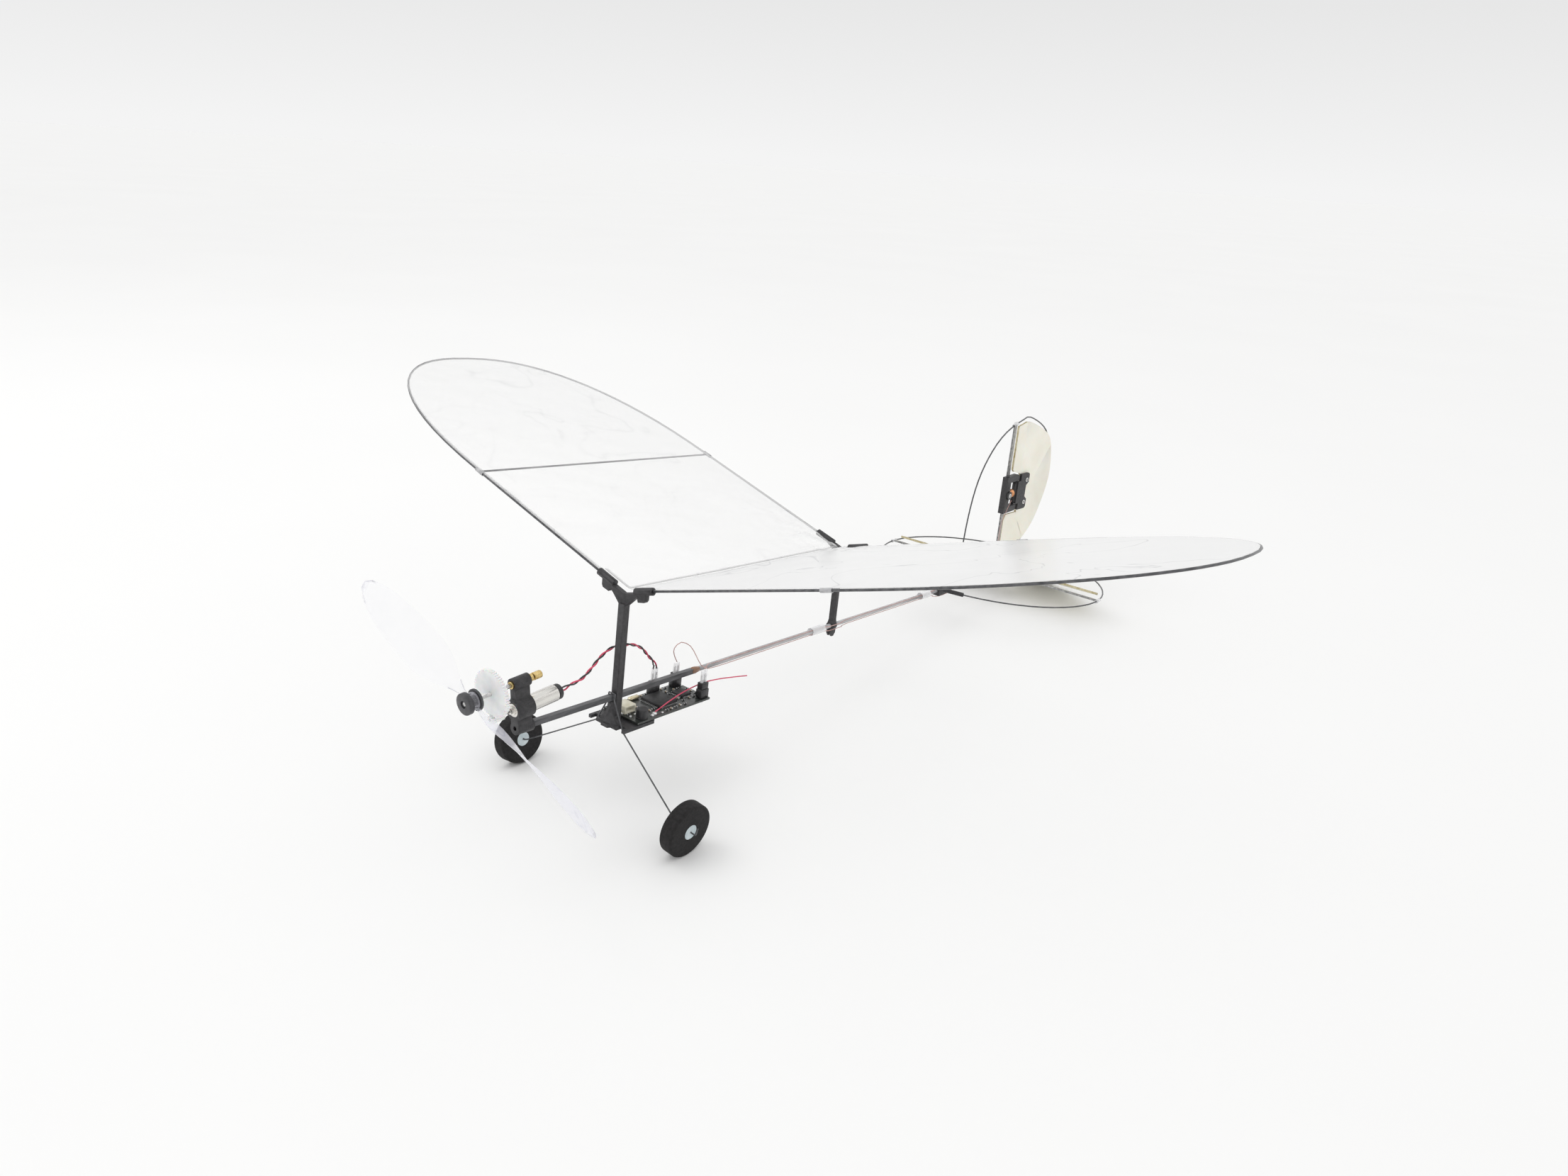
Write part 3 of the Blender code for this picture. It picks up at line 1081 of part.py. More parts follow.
def build_materials():
    return {
        "carbon": material("carbon rod", (0.035, 0.036, 0.04), 0.35),
        "grey tube": material("grey tube", (0.42, 0.42, 0.43), 0.3),
        "black plastic": material("black plastic", (0.045, 0.044, 0.046), 0.5),
        "dark grey plastic": material("dark grey plastic", (0.1, 0.1, 0.11), 0.4),
        "white plastic": material("white plastic", (0.82, 0.8, 0.72), 0.45),
        "white nylon": material("white nylon", (0.86, 0.87, 0.87), 0.45),
        "pale plastic": material("pale plastic", (0.62, 0.68, 0.7), 0.4),
        "clear plastic": material("clear plastic", (0.9, 0.91, 0.95), 0.1, alpha=0.3),
        "clear film": material("clear film", (0.93, 0.93, 0.93), 0.15, alpha=0.35),
        "black foam": material("black foam", (0.02, 0.018, 0.018), 0.9),
        "cream foam": material("cream foam", (0.84, 0.8, 0.68), 0.8),
        "nickel": material("nickel", (0.75, 0.73, 0.68), 0.22, metallic=1.0),
        "steel": material("steel", (0.6, 0.59, 0.58), 0.3, metallic=1.0),
        "brass": material("brass", (0.75, 0.6, 0.3), 0.3, metallic=1.0),
        "copper": material("copper", (0.7, 0.32, 0.16), 0.35, metallic=1.0),
        "circuit board": material("circuit board", (0.03, 0.035, 0.03), 0.45),
        "chip": material("chip", (0.03, 0.03, 0.03), 0.5),
        "crystal": material("crystal", (0.75, 0.68, 0.5), 0.3, metallic=0.6),
        "red and black lead": material("red and black lead", (0.35, 0.03, 0.06), 0.4),
        "red lead": material("red lead", (0.6, 0.05, 0.1), 0.4),
        "enamelled wire": material("enamelled wire", (0.75, 0.38, 0.35), 0.35),
    }


clear_scene()
aeroplane = new_collection("indoor_aeroplane")
cutters = new_collection("cutters")
mats = build_materials()

ground = empty("ground", None, Matrix.Identity(4))
airframe = empty("airframe", ground, Matrix.Identity(4))
thrust_place = Matrix.Translation((0, -0.3, 0)) @ Matrix.Rotation(DOWNTHRUST, 4, "X")
thrust = empty("thrust", airframe, thrust_place)
prop_axis = empty("prop_axis", thrust, Matrix.Translation((0, 0, SHAFT_ABOVE_BOOM)))
pinion_axis = empty("pinion_axis", thrust, Matrix.Translation((0, 0, MOTOR_ABOVE_BOOM)))
stab_place = Matrix.Translation((0, STAB_STATION, STAB_HEIGHT)) @ Matrix.Rotation(STAB_INCIDENCE, 4, "X")
stab = empty("stab", airframe, stab_place)

post_lean = atan2(POST_BOTTOM[0] - POST_TOP[0], POST_TOP[1] - POST_BOTTOM[1])
post_place = Matrix.Translation((0, *POST_BOTTOM)) @ Matrix.Rotation(post_lean, 4, "X")
rudder_actuator = post_place @ Matrix.Translation((0, 0, 43.2))
rudder_hinge = empty("rudder_hinge", airframe, rudder_actuator
                     @ Matrix.Translation((0, HINGE_OFFSET, 0)) @ Matrix.Rotation(-RUDDER_REST, 4, "Z"))
elevator_hinge = empty("elevator_hinge", stab, Matrix.Translation((0, SPAR_STATION + HINGE_OFFSET, 0))
                       @ Matrix.Rotation(-ELEVATOR_DROOP, 4, "X"))

build_boom()
build_mast()
build_rear_strut()
build_undercarriage()
build_motor_mount()
build_motor()
build_prop_shaft()
build_gears()
build_propeller()
build_electronics()
build_wing()
build_tail()
build_rudder()
build_elevator()
build_leads()
stand_on_ground()
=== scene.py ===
import json
from math import atan2, cos, exp, hypot, pi, radians, sin
import bmesh
import bpy
from mathutils import Matrix, Vector, noise

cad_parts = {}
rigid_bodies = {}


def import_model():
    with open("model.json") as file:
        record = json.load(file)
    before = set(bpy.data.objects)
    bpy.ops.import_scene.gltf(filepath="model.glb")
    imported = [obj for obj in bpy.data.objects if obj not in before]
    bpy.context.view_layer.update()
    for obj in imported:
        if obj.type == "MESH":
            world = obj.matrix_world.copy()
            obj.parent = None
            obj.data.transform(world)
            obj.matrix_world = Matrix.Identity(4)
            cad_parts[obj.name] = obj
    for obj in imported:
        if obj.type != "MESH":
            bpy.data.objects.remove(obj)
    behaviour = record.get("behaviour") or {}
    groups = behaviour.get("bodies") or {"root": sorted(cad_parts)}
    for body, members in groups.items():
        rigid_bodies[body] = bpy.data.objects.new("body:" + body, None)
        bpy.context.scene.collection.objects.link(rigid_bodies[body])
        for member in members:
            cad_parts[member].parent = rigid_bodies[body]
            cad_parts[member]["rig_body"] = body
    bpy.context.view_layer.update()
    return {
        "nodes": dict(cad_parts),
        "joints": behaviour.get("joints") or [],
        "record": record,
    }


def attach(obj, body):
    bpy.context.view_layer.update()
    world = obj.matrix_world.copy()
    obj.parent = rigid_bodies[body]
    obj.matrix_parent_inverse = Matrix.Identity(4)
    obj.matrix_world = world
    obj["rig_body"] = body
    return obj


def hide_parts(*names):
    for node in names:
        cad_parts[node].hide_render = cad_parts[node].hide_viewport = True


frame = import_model()
nodes = frame["nodes"]
joints = {joint["name"]: joint for joint in frame["joints"]}
slotOf = {part["node"]: part["material_slot"] for part in frame["record"]["subparts"]}
print("packed model loaded:", len(nodes), "nodes")

mm = 0.001
# the boom's round tube gives the frame that everything else is placed in, in mm
boom = {"tubeStart": 90.0, "ring": 0.5, "thrustStation": -0.3, "motorTilt": 6.1,
        "propHeight": 16.44, "motorHeight": 6.99}
# doubles this close are merged; the first two are in mm, the others in metres
weld = {"turned": 0.0005, "film": 0.002, "packed": 0.002 * mm, "wire": 0.001 * mm}


def ringCentre(points):
    low = Vector([min(p[k] for p in points) for k in range(3)])
    high = Vector([max(p[k] for p in points) for k in range(3)])
    return (low + high) / 2


def boomFrame():
    points = [v.co.copy() for v in nodes["boom_tube"].data.vertices]
    near, far = min(p.y for p in points), max(p.y for p in points)
    ring = boom["ring"] * mm
    front = ringCentre([p for p in points if p.y < near + ring])
    rear = ringCentre([p for p in points if p.y > far - ring])
    aft = (rear - front).normalized()
    right = Vector((1, 0, 0))
    place = Matrix((right, aft, right.cross(aft))).transposed().to_4x4()
    place.translation = front - aft * boom["tubeStart"] * mm
    return place


boomPlace = boomFrame()
toMm = Matrix.Scale(mm, 4)


def onBoom(x, s, h):  # to port, aft along the boom and up from it, in mm
    return boomPlace @ (Vector((x, s, h)) * mm)


def offBoom(point):  # the same, the other way round
    return boomPlace.inverted() @ point / mm


def shifted(base, x=0.0, y=0.0, z=0.0):
    return base @ Matrix.Translation(Vector((x, y, z)) * mm)


def leaning(base, degrees, axis="X"):
    return base @ Matrix.Rotation(radians(degrees), 4, axis)


thrustPlace = leaning(shifted(boomPlace, y=boom["thrustStation"]), boom["motorTilt"])
alongAft = Matrix.Rotation(-pi / 2, 4, "X")  # turns a lathe's z axis to point aft
propPlace = shifted(thrustPlace, z=boom["propHeight"]) @ alongAft
motorPlace = shifted(thrustPlace, z=boom["motorHeight"]) @ alongAft


# camera, ahead of the nose on the port side and above the wing, in the boom's frame
camera = {"place": (260.44, -214.58, 161.87), "right": (0.77932, 0.61524, 0.11891),
          "up": (-0.27361, 0.16339, 0.94786), "back": (0.56373, -0.77122, 0.29567),
          "lens": 24.7, "sensor": 36.0, "clipStart": 0.01}


def addCamera():
    data = bpy.data.cameras.new("camera")
    data.lens = camera["lens"]
    data.sensor_width = camera["sensor"]
    data.clip_start = camera["clipStart"]
    view = bpy.data.objects.new("camera", data)
    bpy.context.scene.collection.objects.link(view)
    turn = boomPlace.to_3x3()
    columns = [turn @ Vector(camera[side]) for side in ("right", "up", "back")]
    aim = Matrix(columns).transposed().to_4x4()
    view.matrix_world = Matrix.Translation(onBoom(*camera["place"])) @ aim
    bpy.context.scene.camera = view


addCamera()
print("camera placed")


# ---- shared shader effects
def newGroup(name, inputs, outputs):
    group = bpy.data.node_groups.new(name, "ShaderNodeTree")
    for label, kind, value in inputs:
        socket = group.interface.new_socket(label, in_out="INPUT", socket_type=kind)
        if value is not None:
            socket.default_value = value
    for label, kind in outputs:
        group.interface.new_socket(label, in_out="OUTPUT", socket_type=kind)
    return group, group.nodes.new("NodeGroupInput"), group.nodes.new("NodeGroupOutput")


def add(tree, kind, **values):
    node = tree.nodes.new(kind)
    for key, value in values.items():
        if key in node.inputs:
            node.inputs[key].default_value = value
        else:
            setattr(node, key, value)
    return node


def addRange(tree, value, low, high, reach=(0.0, 1.0)):
    ends = {"From Min": reach[0], "From Max": reach[1], "To Min": low, "To Max": high}
    spread = add(tree, "ShaderNodeMapRange", **ends)
    tree.links.new(value, spread.inputs["Value"])
    return spread.outputs["Result"]


def grainGroup():
    group, start, end = newGroup(
        "grain and mottle",
        [("Scale", "NodeSocketFloat", 3000.0), ("Stretch", "NodeSocketVector", (1.0, 1.0, 1.0)),
         ("Broad Scale", "NodeSocketFloat", 200.0)],
        [("Fine", "NodeSocketFloat"), ("Broad", "NodeSocketFloat")])
    where = add(group, "ShaderNodeTexCoord")
    stretch = add(group, "ShaderNodeVectorMath", operation="MULTIPLY")
    fine = add(group, "ShaderNodeTexNoise", Detail=3.0, Roughness=0.6)
    broad = add(group, "ShaderNodeTexNoise", Detail=4.0, Roughness=0.55)
    group.links.new(where.outputs["Object"], stretch.inputs[0])
    group.links.new(start.outputs["Stretch"], stretch.inputs[1])
    for texture, scale in ((fine, "Scale"), (broad, "Broad Scale")):
        group.links.new(stretch.outputs[0], texture.inputs["Vector"])
        group.links.new(start.outputs[scale], texture.inputs["Scale"])
    group.links.new(fine.outputs["Fac"], end.inputs["Fine"])
    group.links.new(broad.outputs["Fac"], end.inputs["Broad"])
    return group


# how much of each pattern shows as a mark
marksShown = {"scratches": (0.60, 0.72), "specks": (0.16, 0.05)}


def wearGroup():  # handling marks: sparse scratches and dust specks
    group, start, end = newGroup(
        "scratches and specks",
        [("Scratch Scale", "NodeSocketFloat", 900.0), ("Amount", "NodeSocketFloat", 0.5)],
        [("Mask", "NodeSocketFloat")])
    where = add(group, "ShaderNodeTexCoord")
    lines = add(group, "ShaderNodeTexNoise", Detail=2.0, Distortion=1.5)
    specks = add(group, "ShaderNodeTexVoronoi", feature="F1")
    both = add(group, "ShaderNodeMath", operation="MAXIMUM")
    scaled = add(group, "ShaderNodeMath", operation="MULTIPLY")
    for texture in (lines, specks):
        group.links.new(where.outputs["Object"], texture.inputs["Vector"])
        group.links.new(start.outputs["Scratch Scale"], texture.inputs["Scale"])
    group.links.new(addRange(group, lines.outputs["Fac"], 0, 1, marksShown["scratches"]), both.inputs[0])
    group.links.new(addRange(group, specks.outputs["Distance"], 0, 1, marksShown["specks"]), both.inputs[1])
    group.links.new(both.outputs[0], scaled.inputs[0])
    group.links.new(start.outputs["Amount"], scaled.inputs[1])
    group.links.new(scaled.outputs[0], end.inputs["Mask"])
    return group


def creaseGroup():  # long soft folds in thin plastic, with a line where the noise crosses its middle, used as painted shade along the creases
    noiseMiddle = 0.5
    group, start, end = newGroup(
        "film creases and painted crease shade",
        [("Scale", "NodeSocketFloat", 60.0), ("Sharpness", "NodeSocketFloat", 0.03)],
        [("Fold", "NodeSocketFloat"), ("Line", "NodeSocketFloat")])
    where = add(group, "ShaderNodeTexCoord")
    folds = add(group, "ShaderNodeTexNoise", Detail=3.0, Distortion=0.8)
    centred = add(group, "ShaderNodeMath", operation="SUBTRACT")
    centred.inputs[1].default_value = noiseMiddle
    size = add(group, "ShaderNodeMath", operation="ABSOLUTE")
    line = add(group, "ShaderNodeMapRange", **{"To Min": 1.0, "To Max": 0.0})
    group.links.new(where.outputs["Object"], folds.inputs["Vector"])
    group.links.new(start.outputs["Scale"], folds.inputs["Scale"])
    group.links.new(folds.outputs["Fac"], centred.inputs[0])
    group.links.new(centred.outputs[0], size.inputs[0])
    group.links.new(size.outputs[0], line.inputs["Value"])
    group.links.new(start.outputs["Sharpness"], line.inputs["From Max"])
    group.links.new(folds.outputs["Fac"], end.inputs["Fold"])
    group.links.new(line.outputs["Result"], end.inputs["Line"])
    return group


grain, wear, creases = grainGroup(), wearGroup(), creaseGroup()

# colours are linear, grain sizes are in features per metre, and depths are in mm
finishes = {
    "carbonRod": {"dark": (0.030, 0.031, 0.035), "light": (0.105, 0.106, 0.112), "rough": (0.30, 0.46),
        "grain": 5200, "stretch": (1, 0.12, 1), "bump": 0.15, "coat": 0.25},
    "greyTube": {"dark": (0.36, 0.36, 0.37), "light": (0.55, 0.55, 0.56), "rough": (0.18, 0.30),
        "grain": 4000, "stretch": (1, 0.15, 1), "bump": 0.08, "coat": 0.5},
    "tapedStrip": {"dark": (0.13, 0.13, 0.135), "light": (0.46, 0.46, 0.45), "rough": (0.18, 0.42),
        "grain": 2600, "broad": 620, "bump": 0.35, "coat": 0.6},
    "blackPrint": {"dark": (0.017, 0.0165, 0.018), "light": (0.040, 0.038, 0.041), "rough": (0.36, 0.60),
        "grain": 6500, "bump": 0.35, "wear": 0.5},
    "blackMoulded": {"dark": (0.012, 0.012, 0.013), "light": (0.030, 0.030, 0.032), "rough": (0.28, 0.42),
        "grain": 5200, "bump": 0.12, "wear": 0.35},
    "darkGreyPlastic": {"dark": (0.030, 0.030, 0.034), "light": (0.060, 0.060, 0.066), "rough": (0.30, 0.45),
        "grain": 4500, "bump": 0.15, "wear": 0.4},
    "ivoryPlastic": {"dark": (0.70, 0.66, 0.50), "light": (0.82, 0.79, 0.66), "rough": (0.34, 0.5),
        "grain": 3500, "bump": 0.12},
    "whiteNylon": {"dark": (0.84, 0.855, 0.86), "light": (0.91, 0.915, 0.915), "rough": (0.36, 0.52),
        "grain": 3600, "bump": 0.12, "scatter": 0.35},
    "palePlastic": {"dark": (0.46, 0.54, 0.57), "light": (0.62, 0.69, 0.71), "rough": (0.3, 0.44),
        "grain": 3600, "bump": 0.1, "wear": 0.2},
    "blackFoam": {"dark": (0.004, 0.0036, 0.0038), "light": (0.017, 0.0155, 0.016), "rough": (0.82, 0.97),
        "grain": 3100, "broad": 900, "bump": 1.0, "depth": 0.25},
    "creamFoam": {"dark": (0.84, 0.815, 0.71), "light": (0.90, 0.885, 0.80), "rough": (0.62, 0.82),
        "grain": 2400, "broad": 60, "bump": 0.2, "scatter": 0.2},
    "foamEdge": {"dark": (0.40, 0.33, 0.17), "light": (0.62, 0.56, 0.38), "rough": (0.7, 0.9),
        "grain": 2600, "broad": 500, "bump": 0.6},
    "nickel": {"dark": (0.66, 0.65, 0.62), "light": (0.80, 0.78, 0.74), "rough": (0.14, 0.24),
        "grain": 5200, "stretch": (1, 0.2, 1), "bump": 0.03, "metal": 1.0, "wear": 0.1},
    "steel": {"dark": (0.42, 0.42, 0.42), "light": (0.62, 0.61, 0.60), "rough": (0.18, 0.32),
        "grain": 6000, "bump": 0.06, "metal": 1.0, "wear": 0.3},
    "brass": {"dark": (0.52, 0.36, 0.13), "light": (0.78, 0.60, 0.28), "rough": (0.18, 0.34),
        "grain": 5200, "bump": 0.06, "metal": 1.0, "wear": 0.3},
    "copperWire": {"dark": (0.46, 0.17, 0.06), "light": (0.86, 0.42, 0.20), "rough": (0.2, 0.36),
        "grain": 3500, "bump": 0.1, "metal": 0.85, "coat": 0.4},
    "boardMask": {"dark": (0.012, 0.014, 0.013), "light": (0.036, 0.042, 0.038), "rough": (0.26, 0.44),
        "grain": 2200, "broad": 420, "bump": 0.25, "coat": 0.3, "wear": 0.5},
    "chipEpoxy": {"dark": (0.016, 0.016, 0.017), "light": (0.036, 0.036, 0.037), "rough": (0.48, 0.66),
        "grain": 7000, "bump": 0.25},
    "solder": {"dark": (0.66, 0.67, 0.68), "light": (0.88, 0.88, 0.87), "rough": (0.25, 0.5),
        "grain": 2600, "broad": 900, "bump": 0.3, "metal": 0.75},
    "ceramic": {"dark": (0.30, 0.22, 0.13), "light": (0.52, 0.43, 0.31), "rough": (0.4, 0.6),
        "grain": 3800, "bump": 0.15},
    "crystalCan": {"dark": (0.58, 0.50, 0.30), "light": (0.80, 0.74, 0.55), "rough": (0.2, 0.34),
        "grain": 4200, "bump": 0.08, "metal": 0.8},
    "crimsonWire": {"dark": (0.50, 0.022, 0.075), "light": (0.70, 0.060, 0.14), "rough": (0.28, 0.42),
        "grain": 3500, "bump": 0.1, "coat": 0.3},
    "blackWire": {"dark": (0.010, 0.010, 0.011), "light": (0.028, 0.027, 0.028), "rough": (0.28, 0.42),
        "grain": 3500, "bump": 0.1, "coat": 0.3},
    "pinkEnamel": {"dark": (0.42, 0.22, 0.20), "light": (0.64, 0.42, 0.38), "rough": (0.2, 0.34),
        "grain": 3500, "bump": 0.1, "metal": 0.3, "coat": 0.4},
    "amberGlue": {"dark": (0.16, 0.075, 0.035), "light": (0.34, 0.17, 0.09), "rough": (0.12, 0.3),
        "grain": 1800, "bump": 0.3, "coat": 0.5},
    "whiteWasher": {"dark": (0.78, 0.78, 0.76), "light": (0.88, 0.88, 0.86), "rough": (0.35, 0.5),
        "grain": 3500, "bump": 0.1},
}
# what all of the solid finishes share
surface = {"mottle": (0.32, 0.68), "broadRatio": 9, "wearShare": 0.35,
           "wornGain": 1.5, "wornLift": 0.05, "grainDepth": 0.06, "coatRough": 0.15, "scatterDepth": 0.6}


def setInputs(node, values):
    for socket, value in values.items():
        node.inputs[socket].default_value = value


def newMaterial(name):
    made = bpy.data.materials.new(name)
    made.use_nodes = True
    return made, made.node_tree, made.node_tree.nodes["Principled BSDF"]


def addBump(tree, shader, height, strength, depth):
    bump = add(tree, "ShaderNodeBump", Strength=strength, Distance=depth * mm)
    tree.links.new(height, bump.inputs["Height"])
    tree.links.new(bump.outputs["Normal"], shader.inputs["Normal"])


def addTint(tree, factor, first, second):
    tint = add(tree, "ShaderNodeMix", data_type="RGBA", A=(*first, 1), B=(*second, 1))
    tree.links.new(factor, tint.inputs["Factor"])
    return tint.outputs["Result"]


def makeFinish(name, values):
    made, tree, shader = newMaterial(name)
    broad = values.get("broad", values["grain"] / surface["broadRatio"])
    effect = add(tree, "ShaderNodeGroup", node_tree=grain, Scale=values["grain"],
                 Stretch=values.get("stretch", (1, 1, 1)), **{"Broad Scale": broad})
    mottle = addRange(tree, effect.outputs["Broad"], 0, 1, surface["mottle"])
    colour = addTint(tree, mottle, values["dark"], values["light"])
    gloss = addRange(tree, effect.outputs["Fine"], *values["rough"])
    if "wear" in values:
        marks = add(tree, "ShaderNodeGroup", node_tree=wear, Amount=values["wear"] * surface["wearShare"])
        bare = [min(1, c * surface["wornGain"] + surface["wornLift"]) for c in values["light"]]
        worn = add(tree, "ShaderNodeMix", data_type="RGBA", B=(*bare, 1))
        tree.links.new(marks.outputs["Mask"], worn.inputs["Factor"])
        tree.links.new(colour, worn.inputs["A"])
        dull = add(tree, "ShaderNodeMath", operation="ADD", use_clamp=True)
        tree.links.new(gloss, dull.inputs[0])
        tree.links.new(marks.outputs["Mask"], dull.inputs[1])
        colour, gloss = worn.outputs["Result"], dull.outputs[0]
    tree.links.new(colour, shader.inputs["Base Color"])
    tree.links.new(gloss, shader.inputs["Roughness"])
    addBump(tree, shader, effect.outputs["Fine"], values["bump"], values.get("depth", surface["grainDepth"]))
    setInputs(shader, {"Metallic": values.get("metal", 0.0), "Coat Weight": values.get("coat", 0.0),
                       "Coat Roughness": surface["coatRough"],
                       "Subsurface Weight": values.get("scatter", 0.0),
                       "Subsurface Scale": surface["scatterDepth"] * mm})
    return made


paint = {name: makeFinish(name, values) for name, values in finishes.items()}

# see-through plastics: clear face on, pale and opaque where the surface turns edge on, a painted reflection
# of the bright surroundings; the dark colour is painted shade along the crease lines
clearPlastics = {
    "wingFilm": {"dark": (0.42, 0.42, 0.44), "light": (0.80, 0.80, 0.80), "rough": 0.24,
        "facing": (0.55, 0.90), "alpha": (0.05, 0.90), "creases": 16, "thin": 0.006, "bump": 0.4},
    "clearBlade": {"dark": (0.60, 0.61, 0.72), "light": (0.86, 0.86, 0.93), "rough": 0.14,
        "facing": (0.35, 0.95), "alpha": (0.07, 0.72), "creases": 45, "thin": 0.02, "bump": 0.12},
    "clearSleeve": {"dark": (0.66, 0.67, 0.70), "light": (0.90, 0.90, 0.92), "rough": 0.16,
        "facing": (0.15, 0.85), "alpha": (0.28, 0.85), "creases": 500, "bump": 0.35},
    "clearTape": {"dark": (0.70, 0.70, 0.72), "light": (0.92, 0.92, 0.93), "rough": 0.2,
        "facing": (0.15, 0.85), "alpha": (0.30, 0.80), "creases": 420, "bump": 0.6},
}
# what all of the clear plastics share
clearLook = {"thin": 0.03, "creaseShadeShare": 0.55, "foldDepth": 0.4, "blend": 0.5, "ior": 1.5}


def makeClear(name, values):
    made, tree, shader = newMaterial(name)
    folds = add(tree, "ShaderNodeGroup", node_tree=creases, Scale=values["creases"],
                Sharpness=values.get("thin", clearLook["thin"]))
    # the crease lines pull the colour from the light tint to the dark one: painted shade along the creases
    paintedCreaseShade = add(tree, "ShaderNodeMath", operation="MULTIPLY")
    paintedCreaseShade.inputs[1].default_value = clearLook["creaseShadeShare"]
    tree.links.new(folds.outputs["Line"], paintedCreaseShade.inputs[0])
    colour = addTint(tree, paintedCreaseShade.outputs[0], values["light"], values["dark"])
    tree.links.new(colour, shader.inputs["Base Color"])
    addBump(tree, shader, folds.outputs["Fold"], values["bump"], clearLook["foldDepth"])
    # opacity rises as the surface turns edge on, so the pale colour shows there: painted reflection of the
    # bright surroundings
    angle = add(tree, "ShaderNodeLayerWeight", Blend=clearLook["blend"])
    clear = addRange(tree, angle.outputs["Facing"], *values["alpha"], values["facing"])
    tree.links.new(clear, shader.inputs["Alpha"])
    setInputs(shader, {"Roughness": values["rough"], "IOR": clearLook["ior"]})
    return made


paint.update({name: makeClear(name, values) for name, values in clearPlastics.items()})
paintOfSlot = {"carbon_rod": "carbonRod", "grey_tube": "greyTube", "black_plastic": "blackPrint",
               "dark_grey_plastic": "darkGreyPlastic", "white_plastic": "ivoryPlastic",
               "white_nylon": "whiteNylon", "pale_plastic": "palePlastic", "clear_plastic": "clearBlade",
               "clear_film": "wingFilm", "black_foam": "blackFoam", "cream_foam": "creamFoam",
               "nickel": "nickel", "steel": "steel", "brass": "brass", "copper_coil": "copperWire",
               "circuit_board": "boardMask", "chip_plastic": "chipEpoxy", "crystal_case": "crystalCan",
               "motor_lead": "crimsonWire", "red_lead": "crimsonWire", "enamelled_wire": "pinkEnamel"}
print("materials made:", len(paint))


# ---- making pieces
def addPiece(name, mesh, body, finishNames, replaced=(), angle=35):
    for finishName in finishNames:
        mesh.materials.append(paint[finishName])
    mesh.shade_smooth()
    mesh.set_sharp_from_angle(angle=radians(angle))
    piece = bpy.data.objects.new(name, mesh)
    bpy.context.scene.collection.objects.link(piece)
    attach(piece, body)
    if replaced:
        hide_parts(*replaced)
    return piece


def fromBmesh(name, bm, place, body, finishNames, replaced=(), angle=35):
    bm.transform(place @ toMm)  # modelled in mm in its own frame
    mesh = bpy.data.meshes.new(name)
    bm.to_mesh(mesh)
    bm.free()
    return addPiece(name, mesh, body, finishNames, replaced, angle)


def lathe(profile, steps=64):  # (radius, height) pairs turned about z
    bm = bmesh.new()
    points = [bm.verts.new((radius, 0, height)) for radius, height in profile]
    edges = [bm.edges.new(pair) for pair in zip(points, points[1:])]
    if profile[0][0] > 0:  # off the axis at its ends, so the outline closes on itself
        edges.append(bm.edges.new((points[-1], points[0])))
    bmesh.ops.spin(bm, geom=points + edges, axis=(0, 0, 1), cent=(0, 0, 0), angle=2 * pi,
                   steps=steps, use_merge=True)
    bmesh.ops.remove_doubles(bm, verts=bm.verts, dist=weld["turned"])
    bmesh.ops.recalc_face_normals(bm, faces=bm.faces)
    return bm


def paintFaces(verts, finish):
    for face in {face for vert in verts for face in vert.link_faces}:
        face.material_index = finish


def addBlock(bm, centre, size, soften=0.0, finish=0):
    made = bmesh.ops.create_cube(bm, size=1.0)["verts"]
    bmesh.ops.scale(bm, vec=size, verts=made)
    bmesh.ops.translate(bm, vec=centre, verts=made)
    paintFaces(made, finish)
    if soften:
        edges = list({edge for vert in made for edge in vert.link_edges})
        bmesh.ops.bevel(bm, geom=edges, offset=soften, affect="EDGES", segments=2, profile=0.5, material=-1)


def addRod(bm, start, end, radius, endRadius=None, sides=20, finish=0):
    start, end = Vector(start), Vector(end)
    turn = Vector((0, 0, 1)).rotation_difference(end - start).to_matrix().to_4x4()
    made = bmesh.ops.create_cone(bm, cap_ends=True, segments=sides, radius1=radius,
                                 radius2=radius if endRadius is None else endRadius,
                                 depth=(end - start).length,
                                 matrix=Matrix.Translation((start + end) / 2) @ turn)["verts"]
    paintFaces(made, finish)


def addDome(bm, centre, radius, height, finish=0):
    made = bmesh.ops.create_uvsphere(bm, u_segments=16, v_segments=8, radius=radius)["verts"]
    bmesh.ops.scale(bm, vec=(1, 1, height / radius), verts=made)
    bmesh.ops.translate(bm, vec=centre, verts=made)
    paintFaces(made, finish)


def smoothCopy(node, finishNames=None, angle=35, sorter=None):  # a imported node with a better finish
    mesh = nodes[node].data.copy()
    mesh.materials.clear()
    bm = bmesh.new()
    bm.from_mesh(mesh)
    bmesh.ops.remove_doubles(bm, verts=bm.verts, dist=weld["packed"])
    for face in bm.faces:
        face.material_index = sorter(face) if sorter else 0
    bm.to_mesh(mesh)
    bm.free()
    finishNames = finishNames or [paintOfSlot[slotOf[node]]]
    body = nodes[node]["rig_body"]
    return addPiece(node + "_finished", mesh, body, finishNames, (node,), angle)


